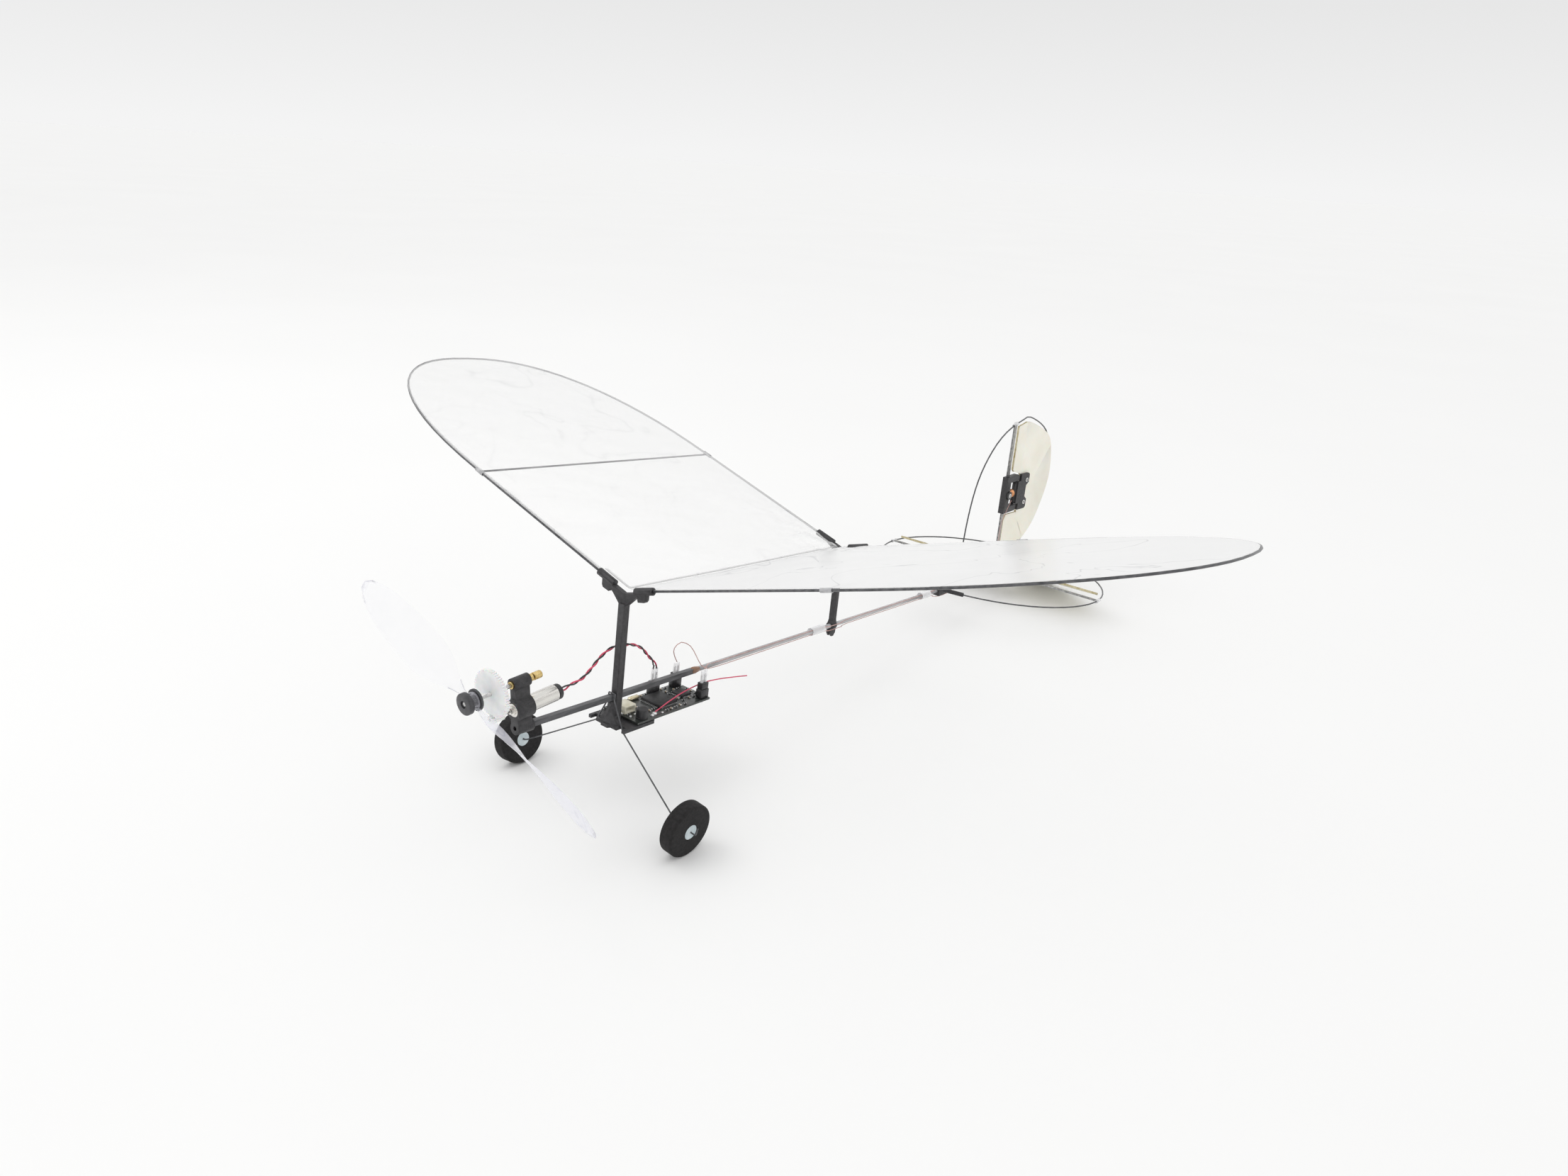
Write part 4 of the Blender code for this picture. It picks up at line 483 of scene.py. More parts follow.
# ---- leads and aerial; routes are (to port, aft, up) in mm, and the lead's start is on the thrust line
motorLead = {"start": [(0, 20.7, 6.99), (0, 24.7, 7.39)],
             "route": [(-0.6, 29, 10.6), (-1.8, 34, 12.4), (-3.2, 40, 15.6), (-3.9, 46, 17.6),
                       (-4.4, 52, 17.2), (-5.0, 58, 15.8), (-5.6, 63.4, 13.0), (-6.2, 67.4, 9.2),
                       (-6.9, 71.6, 5.4), (-7.2, 73.4, 2.9)],
             "plug": (-7.2, 73.4, 1.7), "pinOffset": 0.95, "spacing": 0.9, "wire": 0.31, "diameter": 1.3,
             "twists": 7, "spread": 0.33, "splay": 0.62, "splayStart": 0.10, "splayEnd": 0.06}
aerial = {"route": [(7.0, 60.4, -7.9), (6.3, 64, -7.4), (5.4, 70, -6.4), (4.6, 77, -5.4), (4.2, 84, -4.7),
                    (4.3, 91, -4.3), (4.7, 99, -4.8), (4.9, 108, -6.1), (4.6, 117, -7.8)],
          "spacing": 1.0, "wire": 0.25}


def smoothRoute(points, spacing):  # passes through every point
    points = [2 * points[0] - points[1]] + points + [2 * points[-1] - points[-2]]
    route = []
    for before, a, b, after in zip(points, points[1:], points[2:], points[3:]):
        count = max(2, round((b - a).length / spacing))
        for step in range(count):
            t = step / count
            route.append(0.5 * (2 * a + (b - before) * t + (2 * before - 5 * a + 4 * b - after) * t ** 2
                                + (3 * a - before - 3 * b + after) * t ** 3))
    return route + [points[-2]]


def wireMesh(name, strands, radius, resolution=3):
    curve = bpy.data.curves.new(name, "CURVE")
    curve.dimensions = "3D"
    curve.bevel_depth = radius * mm
    curve.bevel_resolution = resolution
    curve.use_fill_caps = True
    for strand in strands:
        spline = curve.splines.new("POLY")
        spline.points.add(len(strand) - 1)
        for point, where in zip(spline.points, strand):
            point.co = (*where, 1)
    holder = bpy.data.objects.new(name + "_line", curve)
    mesh = bpy.data.meshes.new_from_object(holder)
    bpy.data.objects.remove(holder)
    bpy.data.curves.remove(curve)
    bm = bmesh.new()
    bm.from_mesh(mesh)
    bmesh.ops.remove_doubles(bm, verts=bm.verts, dist=weld["wire"])
    bmesh.ops.recalc_face_normals(bm, faces=bm.faces)
    bm.to_mesh(mesh)
    bm.free()
    mesh.materials.clear()
    return mesh


def twist(route, phase):  # one wire of the pair, opening out towards both ends
    side = Vector((1, 0, 0))
    spread, splay = motorLead["spread"], motorLead["splay"]
    strand = []
    for k, point in enumerate(route):
        along = (route[min(k + 1, len(route) - 1)] - route[max(k - 1, 0)]).normalized()
        side = (side - along * side.dot(along)).normalized()
        other = along.cross(side)
        t = k / (len(route) - 1)
        opening = max(0.0, 1 - t / motorLead["splayStart"], 1 - (1 - t) / motorLead["splayEnd"])
        radius = (spread + (splay - spread) * min(1, opening)) * mm
        angle = phase + 2 * pi * motorLead["twists"] * t
        strand.append(point + (side * cos(angle) + other * sin(angle)) * radius)
    return strand


def makeMotorLead():
    points = [thrustPlace @ (Vector(p) * mm) for p in motorLead["start"]]
    points += [onBoom(*p) for p in motorLead["route"]]
    route = smoothRoute(points, motorLead["spacing"] * mm)
    x, s, h = motorLead["plug"]
    pins = [onBoom(x, s + offset, h) for offset in (motorLead["pinOffset"], -motorLead["pinOffset"])]
    strands = [twist(route, phase) + [pin] for phase, pin in zip((0, pi), pins)]
    mesh = wireMesh("motor_lead_wires", strands, motorLead["wire"])
    piece = addPiece("motor_lead_wires", mesh, "airframe", ["crimsonWire", "blackWire"],
                     ("motor_lead",), 80)
    half = len(mesh.polygons) // 2
    for polygon in mesh.polygons:
        polygon.material_index = 0 if polygon.index < half else 1


def makeAerial():
    route = smoothRoute([onBoom(*p) for p in aerial["route"]], aerial["spacing"] * mm)
    mesh = wireMesh("aerial_wire", [route], aerial["wire"])
    piece = addPiece("aerial_wire", mesh, "airframe", ["crimsonWire"], ("antenna_wire",), 80)


makeMotorLead()
makeAerial()
print("leads laid")


# ---- studio
paper = {"radius": 30.0, "sides": 96, "dark": (0.87, 0.87, 0.865), "light": (0.90, 0.90, 0.895),
         "grain": 900, "broad": 3, "rough": 0.9, "shine": 0.1}
surround = [(0.0, 0.905), (0.13, 0.80), (0.4, 1.04)]  # grey of the walls at each height, from the horizon up
keyLight = {"place": (-0.75, -0.55, 1.15), "size": 0.75, "power": 2.2}


def makeFloor():
    bm = bmesh.new()
    bmesh.ops.create_circle(bm, cap_ends=True, segments=paper["sides"], radius=paper["radius"])
    mesh = bpy.data.meshes.new("floor")
    bm.to_mesh(mesh)
    bm.free()
    floor = bpy.data.objects.new("floor", mesh)
    bpy.context.scene.collection.objects.link(floor)
    made, tree, shader = newMaterial("paper")
    effect = add(tree, "ShaderNodeGroup", node_tree=grain, Scale=paper["grain"])
    effect.inputs["Broad Scale"].default_value = paper["broad"]
    colour = addTint(tree, effect.outputs["Broad"], paper["dark"], paper["light"])
    tree.links.new(colour, shader.inputs["Base Color"])
    setInputs(shader, {"Roughness": paper["rough"], "Specular IOR Level": paper["shine"]})
    mesh.materials.append(made)


def makeWalls():
    world = bpy.data.worlds.new("studio")
    bpy.context.scene.world = world
    world.use_nodes = True
    tree = world.node_tree
    where = add(tree, "ShaderNodeTexCoord")
    split = add(tree, "ShaderNodeSeparateXYZ")
    ramp = add(tree, "ShaderNodeValToRGB")
    while len(ramp.color_ramp.elements) < len(surround):
        ramp.color_ramp.elements.new(0.5)
    for element, (position, value) in zip(ramp.color_ramp.elements, surround):
        element.position = position
        element.color = (value, value, value, 1)
    tree.links.new(where.outputs["Generated"], split.inputs[0])
    tree.links.new(split.outputs["Z"], ramp.inputs["Fac"])
    tree.links.new(ramp.outputs["Color"], tree.nodes["Background"].inputs["Color"])


def makeKeyLight():
    light = bpy.data.lights.new("key", "AREA")
    light.size = keyLight["size"]
    light.energy = keyLight["power"]
    key = bpy.data.objects.new("key", light)
    bpy.context.scene.collection.objects.link(key)
    key.location = keyLight["place"]
    key.rotation_euler = (-Vector(keyLight["place"])).to_track_quat("-Z", "Y").to_euler()


makeFloor()
makeWalls()
makeKeyLight()
bpy.context.scene.view_settings.view_transform = "Standard"
print("studio lit")


# ---- wing film: one thin sheet a side, laid on the rods; (aft, up) places and sizes in mm
wing = {"front": (46.6, 40.2), "rear": (181.4, 37.7), "dihedral": 16.5, "rib": 89.1, "tip": 105.8,
        "fullness": 2.35, "lift": 0.52, "thickness": 0.05, "root": 0.5, "notch": 14.5, "step": 0.1,
        "notchDepth": (2.35, 2.1), "columns": 110, "ribColumn": 46, "notchColumn": 8, "rows": 64}
# slack in the film: waves a mm out and aft, each with its slant, shear and seed, and their heights
waves = {"broad": (0.018, 0, 0.022, 0, 3.7), "ripple": (0.09, 0.03, 0.05, 0, 9.1),
         "crinkle": (0.30, 0, 0.16, 0.08, 5.3)}
slack = {"broad": 0.5, "ripple": 0.14, "crinkle": 0.75, "edge": 9, "crinkleAhead": 9,
         "crinkleReach": (34, 13)}


def wave(name, u, v):
    across, slant, along, shear, seed = waves[name]
    return noise.noise(Vector((u * across + v * slant, v * along + u * shear, seed)))


def filmLift(u, v, chord):  # how far the film stands off its plane, in mm
    out, aft = slack["crinkleReach"]
    nearRear = exp(-((v - chord + slack["crinkleAhead"]) / aft) ** 2) * exp(-(u / out) ** 2)
    held = min(1.0, min(v, chord - v) / slack["edge"])
    soft = slack["broad"] * wave("broad", u, v) + slack["ripple"] * wave("ripple", u, v)
    return held * soft + slack["crinkle"] * wave("crinkle", u, v) * nearRear


def filmPlace(column, across, chord):  # out and aft on the half wing's plane, with the half chord there
    ribColumn, notchColumn, middle = wing["ribColumn"], wing["notchColumn"], chord / 2
    notch, half = wing["notch"], middle
    if column <= notchColumn:
        u = wing["root"] + (notch - wing["root"]) * column / notchColumn
    elif column <= ribColumn:
        start = notch + wing["step"]
        u = start + (wing["rib"] - start) * (column - notchColumn - 1) / (ribColumn - notchColumn - 1)
    else:
        t = (column - ribColumn) / (wing["columns"] - ribColumn) * pi / 2
        u = wing["rib"] + wing["tip"] * sin(t) ** (2 / wing["fullness"])
        half = middle * max(0.0, cos(t)) ** (2 / wing["fullness"])
    low, high = middle - half, middle + half
    if column <= notchColumn:  # cut away round the sockets
        low, high = low + wing["notchDepth"][0], high - wing["notchDepth"][1]
    return u, low + (high - low) * (across + 1) / 2, half


def makeFilm(side, label):
    slope = radians(wing["dihedral"])
    (frontStation, frontHeight), (rearStation, rearHeight) = wing["front"], wing["rear"]
    chord = hypot(rearStation - frontStation, frontHeight - rearHeight)
    fall = atan2(frontHeight - rearHeight, rearStation - frontStation)
    out = Vector((side * cos(slope), 0, sin(slope)))
    aft = Vector((0, cos(fall), -sin(fall)))
    up = Vector((-side * sin(slope), 0, cos(slope)))
    bm = bmesh.new()
    bmesh.ops.create_grid(bm, x_segments=wing["columns"], y_segments=wing["rows"], size=1.0)
    for vert in bm.verts:
        column = round((vert.co.x + 1) / 2 * wing["columns"])
        u, v, half = filmPlace(column, vert.co.y, chord)
        height = wing["lift"] + filmLift(u, v, chord) * (1 if u < wing["rib"] else half / (chord / 2))
        vert.co = Vector((0, frontStation, frontHeight)) + out * u + aft * v + up * height
    bmesh.ops.remove_doubles(bm, verts=bm.verts, dist=weld["film"])
    bmesh.ops.recalc_face_normals(bm, faces=bm.faces)
    piece = fromBmesh("film_" + label, bm, boomPlace, "airframe", ["wingFilm"],
                      ("wing_film_" + label,), 60)
    skin = piece.modifiers.new("film thickness", "SOLIDIFY")
    skin.thickness = wing["thickness"] * mm
    skin.offset = 0


for side, label in ((1, "port"), (-1, "starboard")):
    makeFilm(side, label)
print("film stretched")


# ---- wheels, turned about their axles
wheel = {"radius": 10.05, "half": 2.8, "corner": 0.9, "hub": 2.7, "play": 0.12, "flange": 0.1, "rim": 0.15,
         "bore": 0.42, "boss": (0.9, 0.95), "dish": 0.08, "lip": (0.5, 0.42), "soften": 0.12}


def arc(centreRadius, centreHeight, radius, start, end, count=6):
    return [(centreRadius + radius * cos(start + (end - start) * k / count),
             centreHeight + radius * sin(start + (end - start) * k / count)) for k in range(count + 1)]


def bothSides(upper):  # an outline and its mirror image below
    return upper + [(radius, -height) for radius, height in reversed(upper)]


def jointPlace(name):  # z runs along the joint's axis
    joint = joints[name]
    turn = Vector((0, 0, 1)).rotation_difference(Vector(joint["axis"]))
    return Matrix.Translation(Vector(joint["pos_m"])) @ turn.to_matrix().to_4x4()


def makeWheels():
    radius, half, corner = wheel["radius"], wheel["half"], wheel["corner"]
    tyre = [(wheel["hub"] + wheel["play"], half)] + arc(radius - corner, half - corner, corner, pi / 2, 0)
    rim, flange, soften = half + wheel["rim"], wheel["hub"] + wheel["flange"], wheel["soften"]
    (boss, bossFoot), (lipFoot, lip), dish = wheel["boss"], wheel["lip"], rim - wheel["dish"]
    hub = [(wheel["bore"], rim), (boss, rim), (bossFoot, dish), (flange - lipFoot, dish), (flange - lip, rim),
           (flange - soften, rim), (flange, rim - soften)]
    for label in ("port", "starboard"):
        place, body = jointPlace("wheel_" + label + "_spin"), "wheel_" + label
        fromBmesh("foam_tyre_" + label, lathe(bothSides(tyre), 96), place, body, ["blackFoam"],
                  ("tyre_" + label,), 50)
        fromBmesh("wheel_hub_" + label, lathe(bothSides(hub)), place, body, ["palePlastic"],
                  ("hub_" + label,))


makeWheels()
print("wheels turned")


# ---- power unit, turned pieces with heights counted aft
power = {
    "can": [(0.46, -1.5), (0.92, -1.5), (1.0, -1.42), (1.0, -0.72), (1.52, -0.7), (1.6, -0.62), (1.6, -0.12),
            (2.3, -0.1), (2.38, -0.02), (2.38, 0.6), (2.72, 0.62), (2.95, 0.78), (3.0, 0.9), (3.0, 4.6),
            (2.965, 4.66), (2.965, 4.8), (3.0, 4.86), (3.0, 17.42), (2.95, 17.55), (2.85, 17.6),
            (0.46, 17.6)],
    "cap": [(0, 17.9), (2.8, 17.9), (2.8, 19.25), (2.72, 19.45), (2.5, 19.7), (2.3, 19.8), (1.1, 19.8),
            (1.02, 19.86), (0.9, 20.3), (0, 20.3)],
    "bushing": [(0.81, -0.6), (1.2, -0.6), (1.3, -0.5), (1.3, 8.2), (1.2, 8.3), (0.81, 8.3)],
    "collar": [(0.81, 8.8), (1.3, 8.8), (1.38, 8.9), (1.38, 9.9), (1.32, 9.98), (1.32, 10.2), (1.38, 10.28),
               (1.38, 11.6), (1.28, 11.85), (1.15, 11.9), (0.81, 11.9)],
    "spool": [(0.81, -18.5), (1.3, -18.5), (1.3, -19.0), (3.3, -19.0), (3.62, -18.9), (3.75, -18.66),
              (3.75, -17.3), (3.65, -17.2), (2.1, -17.2), (2.1, -14.6), (3.65, -14.6), (3.75, -14.5),
              (3.75, -13.9), (3.65, -13.8), (0.81, -13.8)],
    "terminal": {"apart": 1.0, "from": 19.7, "to": 20.6, "foot": 0.45, "tip": 0.38}}


def makePowerUnit():
    fromBmesh("motor_case", lathe(power["can"], 72), motorPlace, "airframe", ["nickel"],
              ("motor_can",), 30)
    cap, terminal = lathe(power["cap"]), power["terminal"]
    for x in (-terminal["apart"], terminal["apart"]):
        addRod(cap, (x, 0, terminal["from"]), (x, 0, terminal["to"]), terminal["foot"], terminal["tip"])
    fromBmesh("motor_cap", cap, motorPlace, "airframe", ["blackMoulded"],
              ("motor_end_cap",), 30)
    fromBmesh("bushing", lathe(power["bushing"], 56), propPlace, "airframe", ["brass"],
              ("shaft_bushing",), 30)
    fromBmesh("collar", lathe(power["collar"], 56), propPlace, "propeller_drive", ["brass"],
              ("shaft_collar",), 30)
    fromBmesh("spool", lathe(power["spool"], 72), propPlace, "propeller_drive",
              ["darkGreyPlastic"], ("prop_hub",), 30)
    for node, angle in (("spur_gear", 28), ("pinion_gear", 28), ("prop_shaft", 40), ("motor_shaft", 40),
                        ("propeller", 50), ("motor_mount", 30)):
        smoothCopy(node, angle=angle)


makePowerUnit()
print("power unit made")


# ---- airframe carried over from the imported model, each node with the angle its edges stay sharp at
plainNodes = {
    "boom_rod": 30, "boom_tube": 40, "mast_frame": 30, "landing_wire": 60, "rear_strut": 30,
    "wing_frame_port": 60, "wing_frame_starboard": 60, "wing_rib_port": 40, "wing_rib_starboard": 40,
    "tail_socket": 30, "stab_frame": 60, "fin_frame": 60, "rudder_pin": 40, "elevator_pin": 40,
    "rudder_lead": 60, "elevator_lead": 60, "circuit_board": 30, "main_chip": 30, "radio_chip": 30,
    "battery_socket": 30, "crystal": 30, "socket_motor": 30, "socket_rudder": 30, "socket_elevator": 30,
    "rudder_frame": 30, "elevator_frame": 30, "rudder_bracket": 30, "elevator_bracket": 30,
    "rudder_magnet": 30, "elevator_magnet": 30}
# the second finish starts this near a rod's end, or this far out or up, in mm
secondFinish = {"tee": 1.2, "sparTape": 64.8, "postTape": 86.3}


def ribSorter(face):  # tees at the rod ends are grey, the rib itself is carbon
    middle = sum(offBoom(vert.co).y for vert in face.verts) / len(face.verts)
    return 1 if min(abs(middle - wing[rod][0]) for rod in ("front", "rear")) < secondFinish["tee"] else 0


def sparSorter(face):
    return 1 if abs(face.calc_center_median().x) > secondFinish["sparTape"] * mm else 0


def postSorter(face):
    return 1 if offBoom(face.calc_center_median()).z > secondFinish["postTape"] else 0


def makeAirframe():
    for node, angle in plainNodes.items():
        if node.startswith("wing_rib"):
            smoothCopy(node, ["carbonRod", "greyTube"], angle, ribSorter)
        elif node.startswith("socket_"):
            smoothCopy(node, ["blackMoulded"], angle)
        else:
            smoothCopy(node, angle=angle)
    smoothCopy("stab_spar", ["tapedStrip", "clearTape"], sorter=sparSorter)
    smoothCopy("fin_post", ["tapedStrip", "clearTape"], sorter=postSorter)


makeAirframe()
print("airframe finished")


# ---- foam surfaces, cream sheet with tan cut edges
foam = {"flat": 0.8}  # a face turned less than this towards the sheet's own normal is a cut edge
def foamSorter(normal):
    return lambda face: 0 if abs(face.normal.dot(normal)) > foam["flat"] else 1


def makeFoam():
    for node in ("rudder_foam", "elevator_foam"):
        faces = nodes[node].data.polygons
        largest = max(faces, key=lambda face: face.area)
        smoothCopy(node, ["creamFoam", "foamEdge"], 30, foamSorter(largest.normal.copy()))


makeFoam()
print("foam cut")


# the rudder's foam runs on under the fixed frame; (aft, up) from the hinge in mm
heel = {"outline": [(-7.6, -37.6), (2.2, -37.6), (9.2, -33.9), (16.3, -29.6), (5.3, -14.6), (4.6, -12.5),
                    (-6.0, -12.5), (-7.6, -15.5)], "half": 0.6}


def makeHeel(hingePlace):
    bm = bmesh.new()
    sheet = bm.faces.new([bm.verts.new((-heel["half"], y, z)) for y, z in heel["outline"]])
    grown = bmesh.ops.extrude_face_region(bm, geom=[sheet])["geom"]
    far = [made for made in grown if isinstance(made, bmesh.types.BMVert)]
    bmesh.ops.translate(bm, vec=(2 * heel["half"], 0, 0), verts=far)
    bmesh.ops.recalc_face_normals(bm, faces=bm.faces)
    sorter = foamSorter(Vector((1, 0, 0)))
    for face in bm.faces:
        face.material_index = sorter(face)
    fromBmesh("rudder_foam_heel", bm, hingePlace, "rudder", ["creamFoam", "foamEdge"], (), 30)


# ---- receiver board; places are (to port, aft) in mm, heights are from the board's top
board = {
    "top": -8.7, "thickness": 0.8,
    "chips": [{"place": (-0.4, 70.0), "side": 10.0, "legs": 11, "pitch": 0.8},
              {"place": (0.1, 82.1), "side": 5.5, "legs": 6, "pitch": 0.8}],
    "parts": [(-3.6, 58.3, 0), (-1.2, 58.5, 1), (1.4, 58.2, 0), (4.1, 60.4, 1), (3.9, 62.4, 0),
              (7.4, 66.2, 0), (7.6, 68.6, 1), (7.5, 71.0, 0), (7.4, 73.6, 1), (7.6, 76.2, 0), (-7.7, 67.6, 1),
              (-7.6, 69.6, 0), (-7.5, 78.4, 1), (-7.6, 80.6, 0), (-4.6, 78.2, 1), (-2.4, 77.4, 0),
              (2.6, 77.5, 1), (4.8, 78.0, 0), (-4.4, 82.4, 1), (-4.4, 84.6, 0), (4.6, 81.8, 1),
              (4.7, 84.2, 0), (-2.2, 87.2, 0), (0.4, 87.3, 1), (2.8, 87.1, 0), (-6.8, 58.0, 1),
              (1.8, 51.6, 0)],
    "solder": [(7.0, 60.2, 0.95), (7.6, 58.4, 0.7), (-3.6, 50.6, 0.6), (-0.4, 50.6, 0.6), (2.9, 54.0, 0.55),
               (3.4, 51.2, 0.6), (8.0, 63.4, 0.5), (-8.0, 88.0, 0.5), (-5.6, 88.0, 0.5), (5.4, 88.1, 0.5)],
    "solderFoot": 0.12, "solderRise": 0.75}
# chip legs are bars flat on the board; header pins hang below it; contacts lie in the battery socket
leg = {"size": (0.95, 0.34, 0.16), "reach": 0.42, "lift": 0.22}
header = {"places": [-6.6, -4.1, -1.6, 0.9, 3.4, 5.9], "station": 88.2, "drop": 2.4, "width": 0.5,
          "soften": 0.1}
contact = {"places": (-3.2, -0.6), "station": 51.6, "height": 1.5, "size": (0.5, 3.0, 0.5), "soften": 0.08}
# the two kinds of small part, lying along the board and across it, each with a tinned end either side
smallPart = {"height": 0.35, "endHeight": 0.34, "soften": 0.05,
             "along": {"size": (0.6, 1.05, 0.45), "end": (0.66, 0.24, 0.49), "reach": 0.5},
             "across": {"size": (0.95, 0.6, 0.5), "end": (0.24, 0.66, 0.54), "reach": 0.45}}
# the round can stands at its own place; (radius, height) from its foot up
capacitor = {"place": (6.4, 54.0),
             "outline": [(0, 3.72), (1.75, 3.72), (1.85, 3.66), (1.95, 3.72), (2.15, 3.66), (2.3, 3.45),
                         (2.3, 0.9), (2.18, 0.8), (2.18, 0.55), (2.3, 0.45), (2.3, 0.12), (0, 0.12)]}


def addLegs(bm, chip):
    x, s = chip["place"]
    height, reach = board["top"] + leg["lift"], chip["side"] / 2 + leg["reach"]
    length, width, thick = leg["size"]
    for k in range(chip["legs"]):
        offset = (k - (chip["legs"] - 1) / 2) * chip["pitch"]
        for sign in (1, -1):
            addBlock(bm, (x + sign * reach, s + offset, height), (length, width, thick))
            addBlock(bm, (x + offset, s + sign * reach, height), (width, length, thick))


def addSmallPart(bodies, ends, x, s, across):
    kind, height = smallPart["across" if across else "along"], board["top"] + smallPart["endHeight"]
    addBlock(bodies, (x, s, board["top"] + smallPart["height"]), kind["size"], smallPart["soften"], across)
    for step in (kind["reach"], -kind["reach"]):
        place = (x + step, s, height) if across else (x, s + step, height)
        addBlock(ends, place, kind["end"], smallPart["soften"])


def makeBoard():
    top = board["top"]
    metal, small = bmesh.new(), bmesh.new()
    for chip in board["chips"]:
        addLegs(metal, chip)
    for x, s, radius in board["solder"]:
        addDome(metal, (x, s, top + board["solderFoot"]), radius, radius * board["solderRise"])
    for x in header["places"]:
        addBlock(metal, (x, header["station"], top - board["thickness"] - header["drop"] / 2),
                 (header["width"], header["width"], header["drop"]), header["soften"])
    for x, s, across in board["parts"]:
        addSmallPart(small, metal, x, s, across)
    for x in contact["places"]:
        addBlock(metal, (x, contact["station"], top + contact["height"]), contact["size"], contact["soften"])
    fromBmesh("legs_and_solder", metal, boomPlace, "airframe", ["solder"], (), 40)
    fromBmesh("small_chips", small, boomPlace, "airframe", ["chipEpoxy", "ceramic"], (), 30)
    outline = [(radius, top + height) for radius, height in capacitor["outline"]]
    fromBmesh("can_capacitor", lathe(outline, 56), shifted(boomPlace, *capacitor["place"]), "airframe",
              ["blackMoulded"], ("capacitor",), 30)


makeBoard()
print("board filled")


# ---- plugs: black shell, bright pins and clear shrink sleeves; (to port, aft) places and heights in mm
plugs = {"motor": {"place": (-7.2, 73.4), "foot": -4.98, "top": -3.3, "sleeveTop": 2.0},
         "elevator": {"place": (-7.2, 85.9), "foot": -4.98, "top": -2.7, "sleeveTop": 1.3},
         "rudder": {"place": (6.9, 86.6), "foot": -4.88, "top": -2.3, "sleeveTop": 2.7}}
shell = {"width": 2.6, "length": 3.7, "soften": 0.14}
# pins stand in pairs; their tops and beads are at a share of the sleeve's height
pin = {"offset": 0.95, "sunk": 0.1, "tall": 0.62, "foot": 0.36, "tip": 0.3, "bead": (0.42, 0.75),
       "beadAt": 0.55}
sleeve = {"gap": 0.05, "foot": 0.70, "tip": 0.56, "sides": 28}


def makePlugs():
    for name, plug in plugs.items():
        (x, s), foot, top = plug["place"], plug["foot"], plug["top"]
        box, pins, sleeves = bmesh.new(), bmesh.new(), bmesh.new()
        size = (shell["width"], shell["length"], top - foot)
        addBlock(box, (x, s, (foot + top) / 2), size, shell["soften"])
        fromBmesh("plug_shell_" + name, box, boomPlace, "airframe", ["blackMoulded"],
                  ("plug_" + name,), 30)
        tall = plug["sleeveTop"] - top
        for y in (s - pin["offset"], s + pin["offset"]):
            addRod(pins, (x, y, top - pin["sunk"]), (x, y, top + pin["tall"] * tall), pin["foot"], pin["tip"])
            addDome(pins, (x, y, top + pin["beadAt"] * tall), *pin["bead"])
            addRod(sleeves, (x, y, top + sleeve["gap"]), (x, y, plug["sleeveTop"]), sleeve["foot"],
                   sleeve["tip"], sleeve["sides"])
        fromBmesh("plug_pins_" + name, pins, boomPlace, "airframe", ["solder"])
        fromBmesh("plug_sleeves_" + name, sleeves, boomPlace, "airframe", ["clearSleeve"])


makePlugs()
print("plugs seated")


# ---- actuators: boss disc, screws and wound coils
# the fin post's foot and head are (aft, up) on the boom; "spot" is how far up it the rudder's sits
fin = {"foot": (344.0, 3.4), "head": (338.3, 88.6), "spot": 43.2, "rest": 5.0}
stab = {"station": 282.0, "height": -0.2, "incidence": 3.2, "spar": 57.0, "x": -18.0, "droop": 19.5}
# in both, the hinge lies behind the post and the bracket's screws beyond the hinge
actuator = {"hinge": 10.6, "screwReach": 8.9, "screwHeight": 6.6, "bracketFace": 2.15}
coil = {"start": 3.0, "end": 7.4, "radius": 2.3, "turns": 17, "flange": 0.15, "valley": 0.05, "crest": 0.03,
        "shoulder": 0.2, "eye": (1.05, 1.0), "eyeDepth": 0.6}
disc = {"place": (0.5, 0.0), "radius": 2.45, "taper": 0.1, "near": 1.6, "far": 2.85, "sides": 48}
screw = {"washer": 1.15, "washerTop": 0.28, "head": (0.74, 0.62), "headTop": 0.8, "socket": 0.3,
         "socketTop": 0.83}


def coilProfile():  # a ripple for each turn of wire, between two plain shoulders
    start, end, radius, flange = coil["start"], coil["end"], coil["radius"], coil["flange"]
    eye, eyeFoot = coil["eye"]
    step = (end - start - 2 * flange) / coil["turns"]
    profile = [(0, start), (radius - flange, start)]
    for k in range(coil["turns"]):
        low = start + flange + step * k
        profile += [(radius - coil["valley"], low), (radius + coil["crest"], low + step / 2)]
    profile += [(radius - coil["valley"], end - flange), (radius - coil["shoulder"], end), (eye, end)]
    return profile + [(eyeFoot, end - coil["eyeDepth"]), (0, end - coil["eyeDepth"])]


def addScrew(bm, y, z, face, sign=1):  # washer, head and dark socket along x
    under, above = face + screw["washerTop"], face + screw["headTop"]
    addRod(bm, (sign * face, y, z), (sign * under, y, z), screw["washer"], sides=28, finish=0)
    addRod(bm, (sign * under, y, z), (sign * above, y, z), *screw["head"], sides=24, finish=1)
    addRod(bm, (sign * above, y, z), (sign * (face + screw["socketTop"]), y, z), screw["socket"], sides=6,
           finish=2)


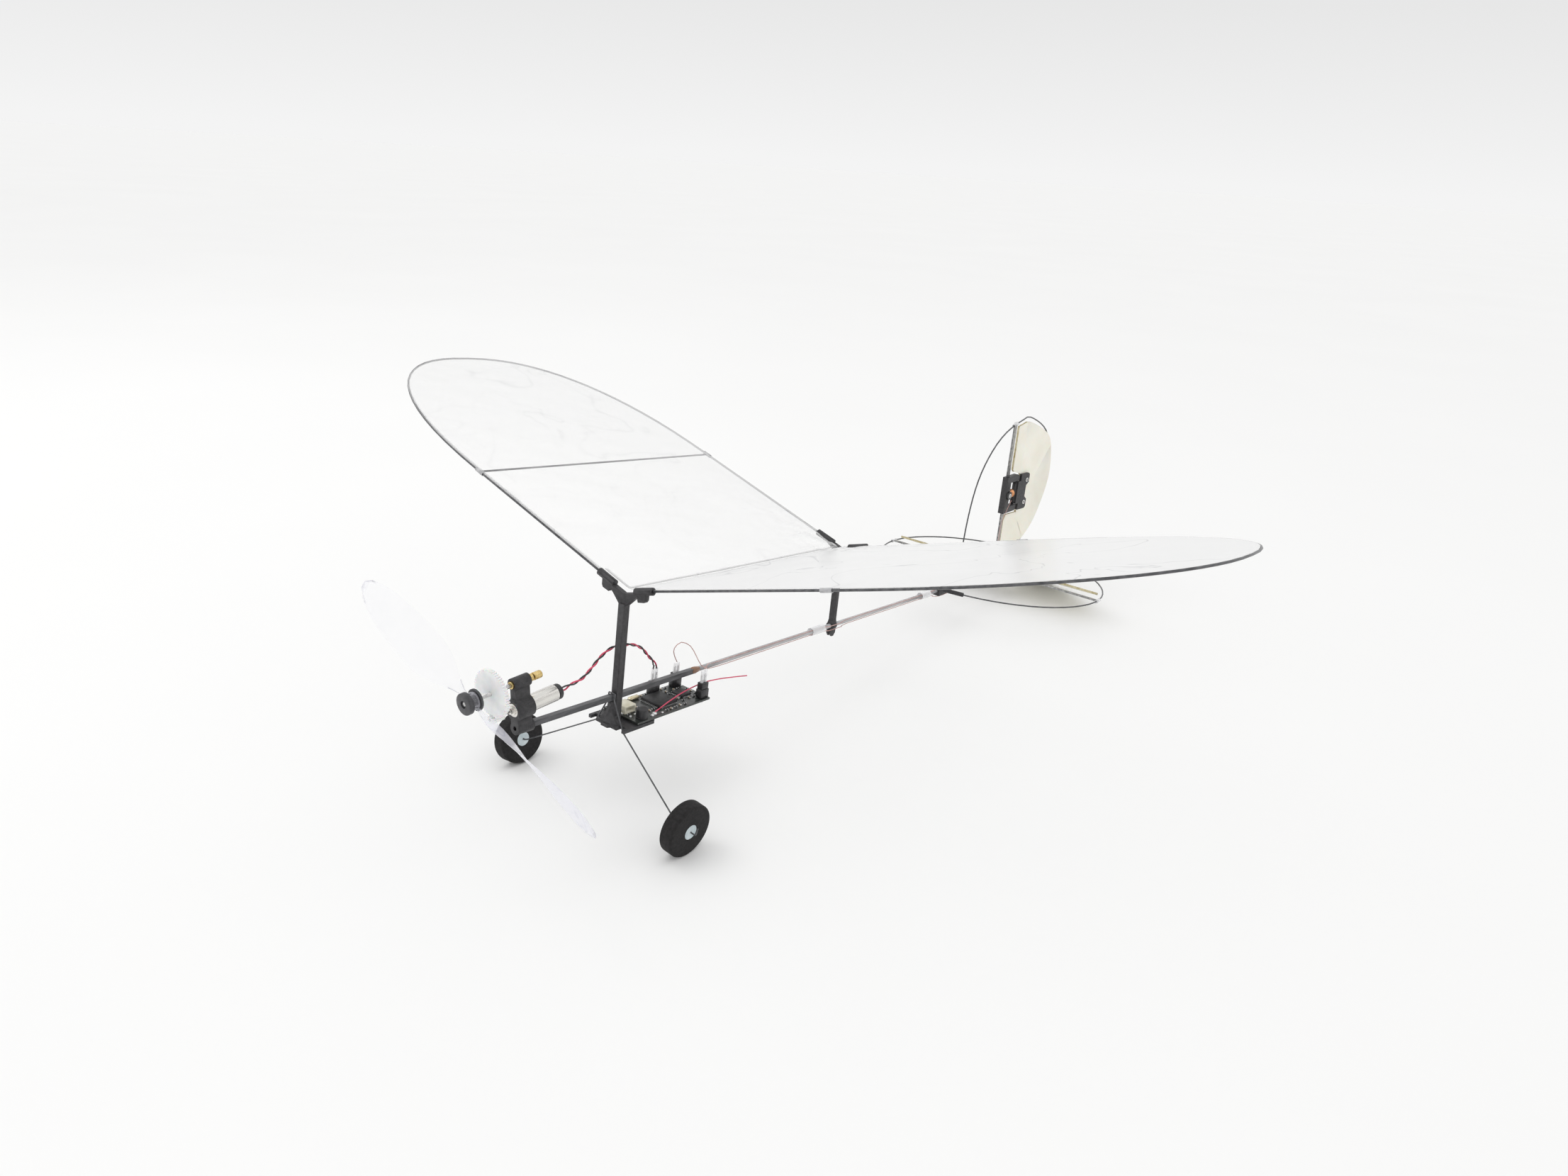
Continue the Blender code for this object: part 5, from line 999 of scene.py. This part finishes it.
def makeActuator(name, place, hingePlace, body, face):
    screwFinishes = ["whiteWasher", "steel", "blackMoulded"]
    fromBmesh(name + "_coil_windings", lathe(coilProfile(), 48), place @ alongAft, "airframe",
              ["copperWire"], (name + "_coil",), 60)
    y, z = disc["place"]
    boss = bmesh.new()
    addRod(boss, (disc["near"], y, z), (disc["far"], y, z), disc["radius"], disc["radius"] - disc["taper"],
           disc["sides"])
    fromBmesh(name + "_boss_disc", boss, place, "airframe", ["blackMoulded"])
    fixed, moving = bmesh.new(), bmesh.new()
    addScrew(fixed, y, z, disc["far"])
    fromBmesh(name + "_fixed_screw", fixed, place, "airframe", screwFinishes)
    for z in (actuator["screwHeight"], -actuator["screwHeight"]):
        addScrew(moving, actuator["screwReach"], z, actuator["bracketFace"], face)
    fromBmesh(name + "_bracket_screws", moving, hingePlace, body, screwFinishes)


def makeRudderActuator():
    (footStation, footHeight), (headStation, headHeight) = fin["foot"], fin["head"]
    lean = atan2(footStation - headStation, headHeight - footHeight)
    place = shifted(boomPlace, 0, footStation, footHeight) @ Matrix.Rotation(lean, 4, "X")
    place = shifted(place, z=fin["spot"])
    hingePlace = leaning(shifted(place, y=actuator["hinge"]), -fin["rest"], "Z")
    makeActuator("rudder", place, hingePlace, "rudder", 1)
    makeHeel(hingePlace)


def makeElevatorActuator():
    sideways = Matrix(((0, 0, 1, 0), (0, 1, 0, 0), (-1, 0, 0, 0), (0, 0, 0, 1)))
    stabPlace = leaning(shifted(boomPlace, 0, stab["station"], stab["height"]), stab["incidence"])
    place = shifted(stabPlace, stab["x"], stab["spar"]) @ sideways
    hingePlace = leaning(shifted(stabPlace, 0, stab["spar"] + actuator["hinge"]), -stab["droop"])
    makeActuator("elevator", place, shifted(hingePlace, stab["x"]) @ sideways, "elevator", -1)


makeRudderActuator()
makeElevatorActuator()
print("actuators wound")


# ---- glue and tape on the boom; glue is (radius, station), sleeves run from station to station
dressing = {"glue": [(0, 86.6), (1.12, 86.6), (1.42, 87.4), (1.48, 88.4), (1.3, 89.6), (1.06, 90.8),
                     (0, 90.8)], "sleeves": [(166.0, 175.6), (262.0, 270.5)],
            "radius": 1.86, "thickness": 0.08, "swell": 0.05, "hem": 0.6}


def makeDressing():
    along = boomPlace @ alongAft
    glue = lathe(dressing["glue"], 40)
    fromBmesh("joint_glue", glue, along, "airframe", ["amberGlue"], (), 60)
    radius, hem = dressing["radius"], dressing["hem"]
    inner, outer = radius - dressing["thickness"], radius + dressing["swell"]
    for k, (start, end) in enumerate(dressing["sleeves"]):
        profile = [(inner, start), (radius, start), (outer, start + hem), (outer, end - hem), (radius, end),
                   (inner, end)]
        fromBmesh("tape_sleeve_%d" % k, lathe(profile, 36), along, "airframe", ["clearTape"])


makeDressing()
print("boom dressed")
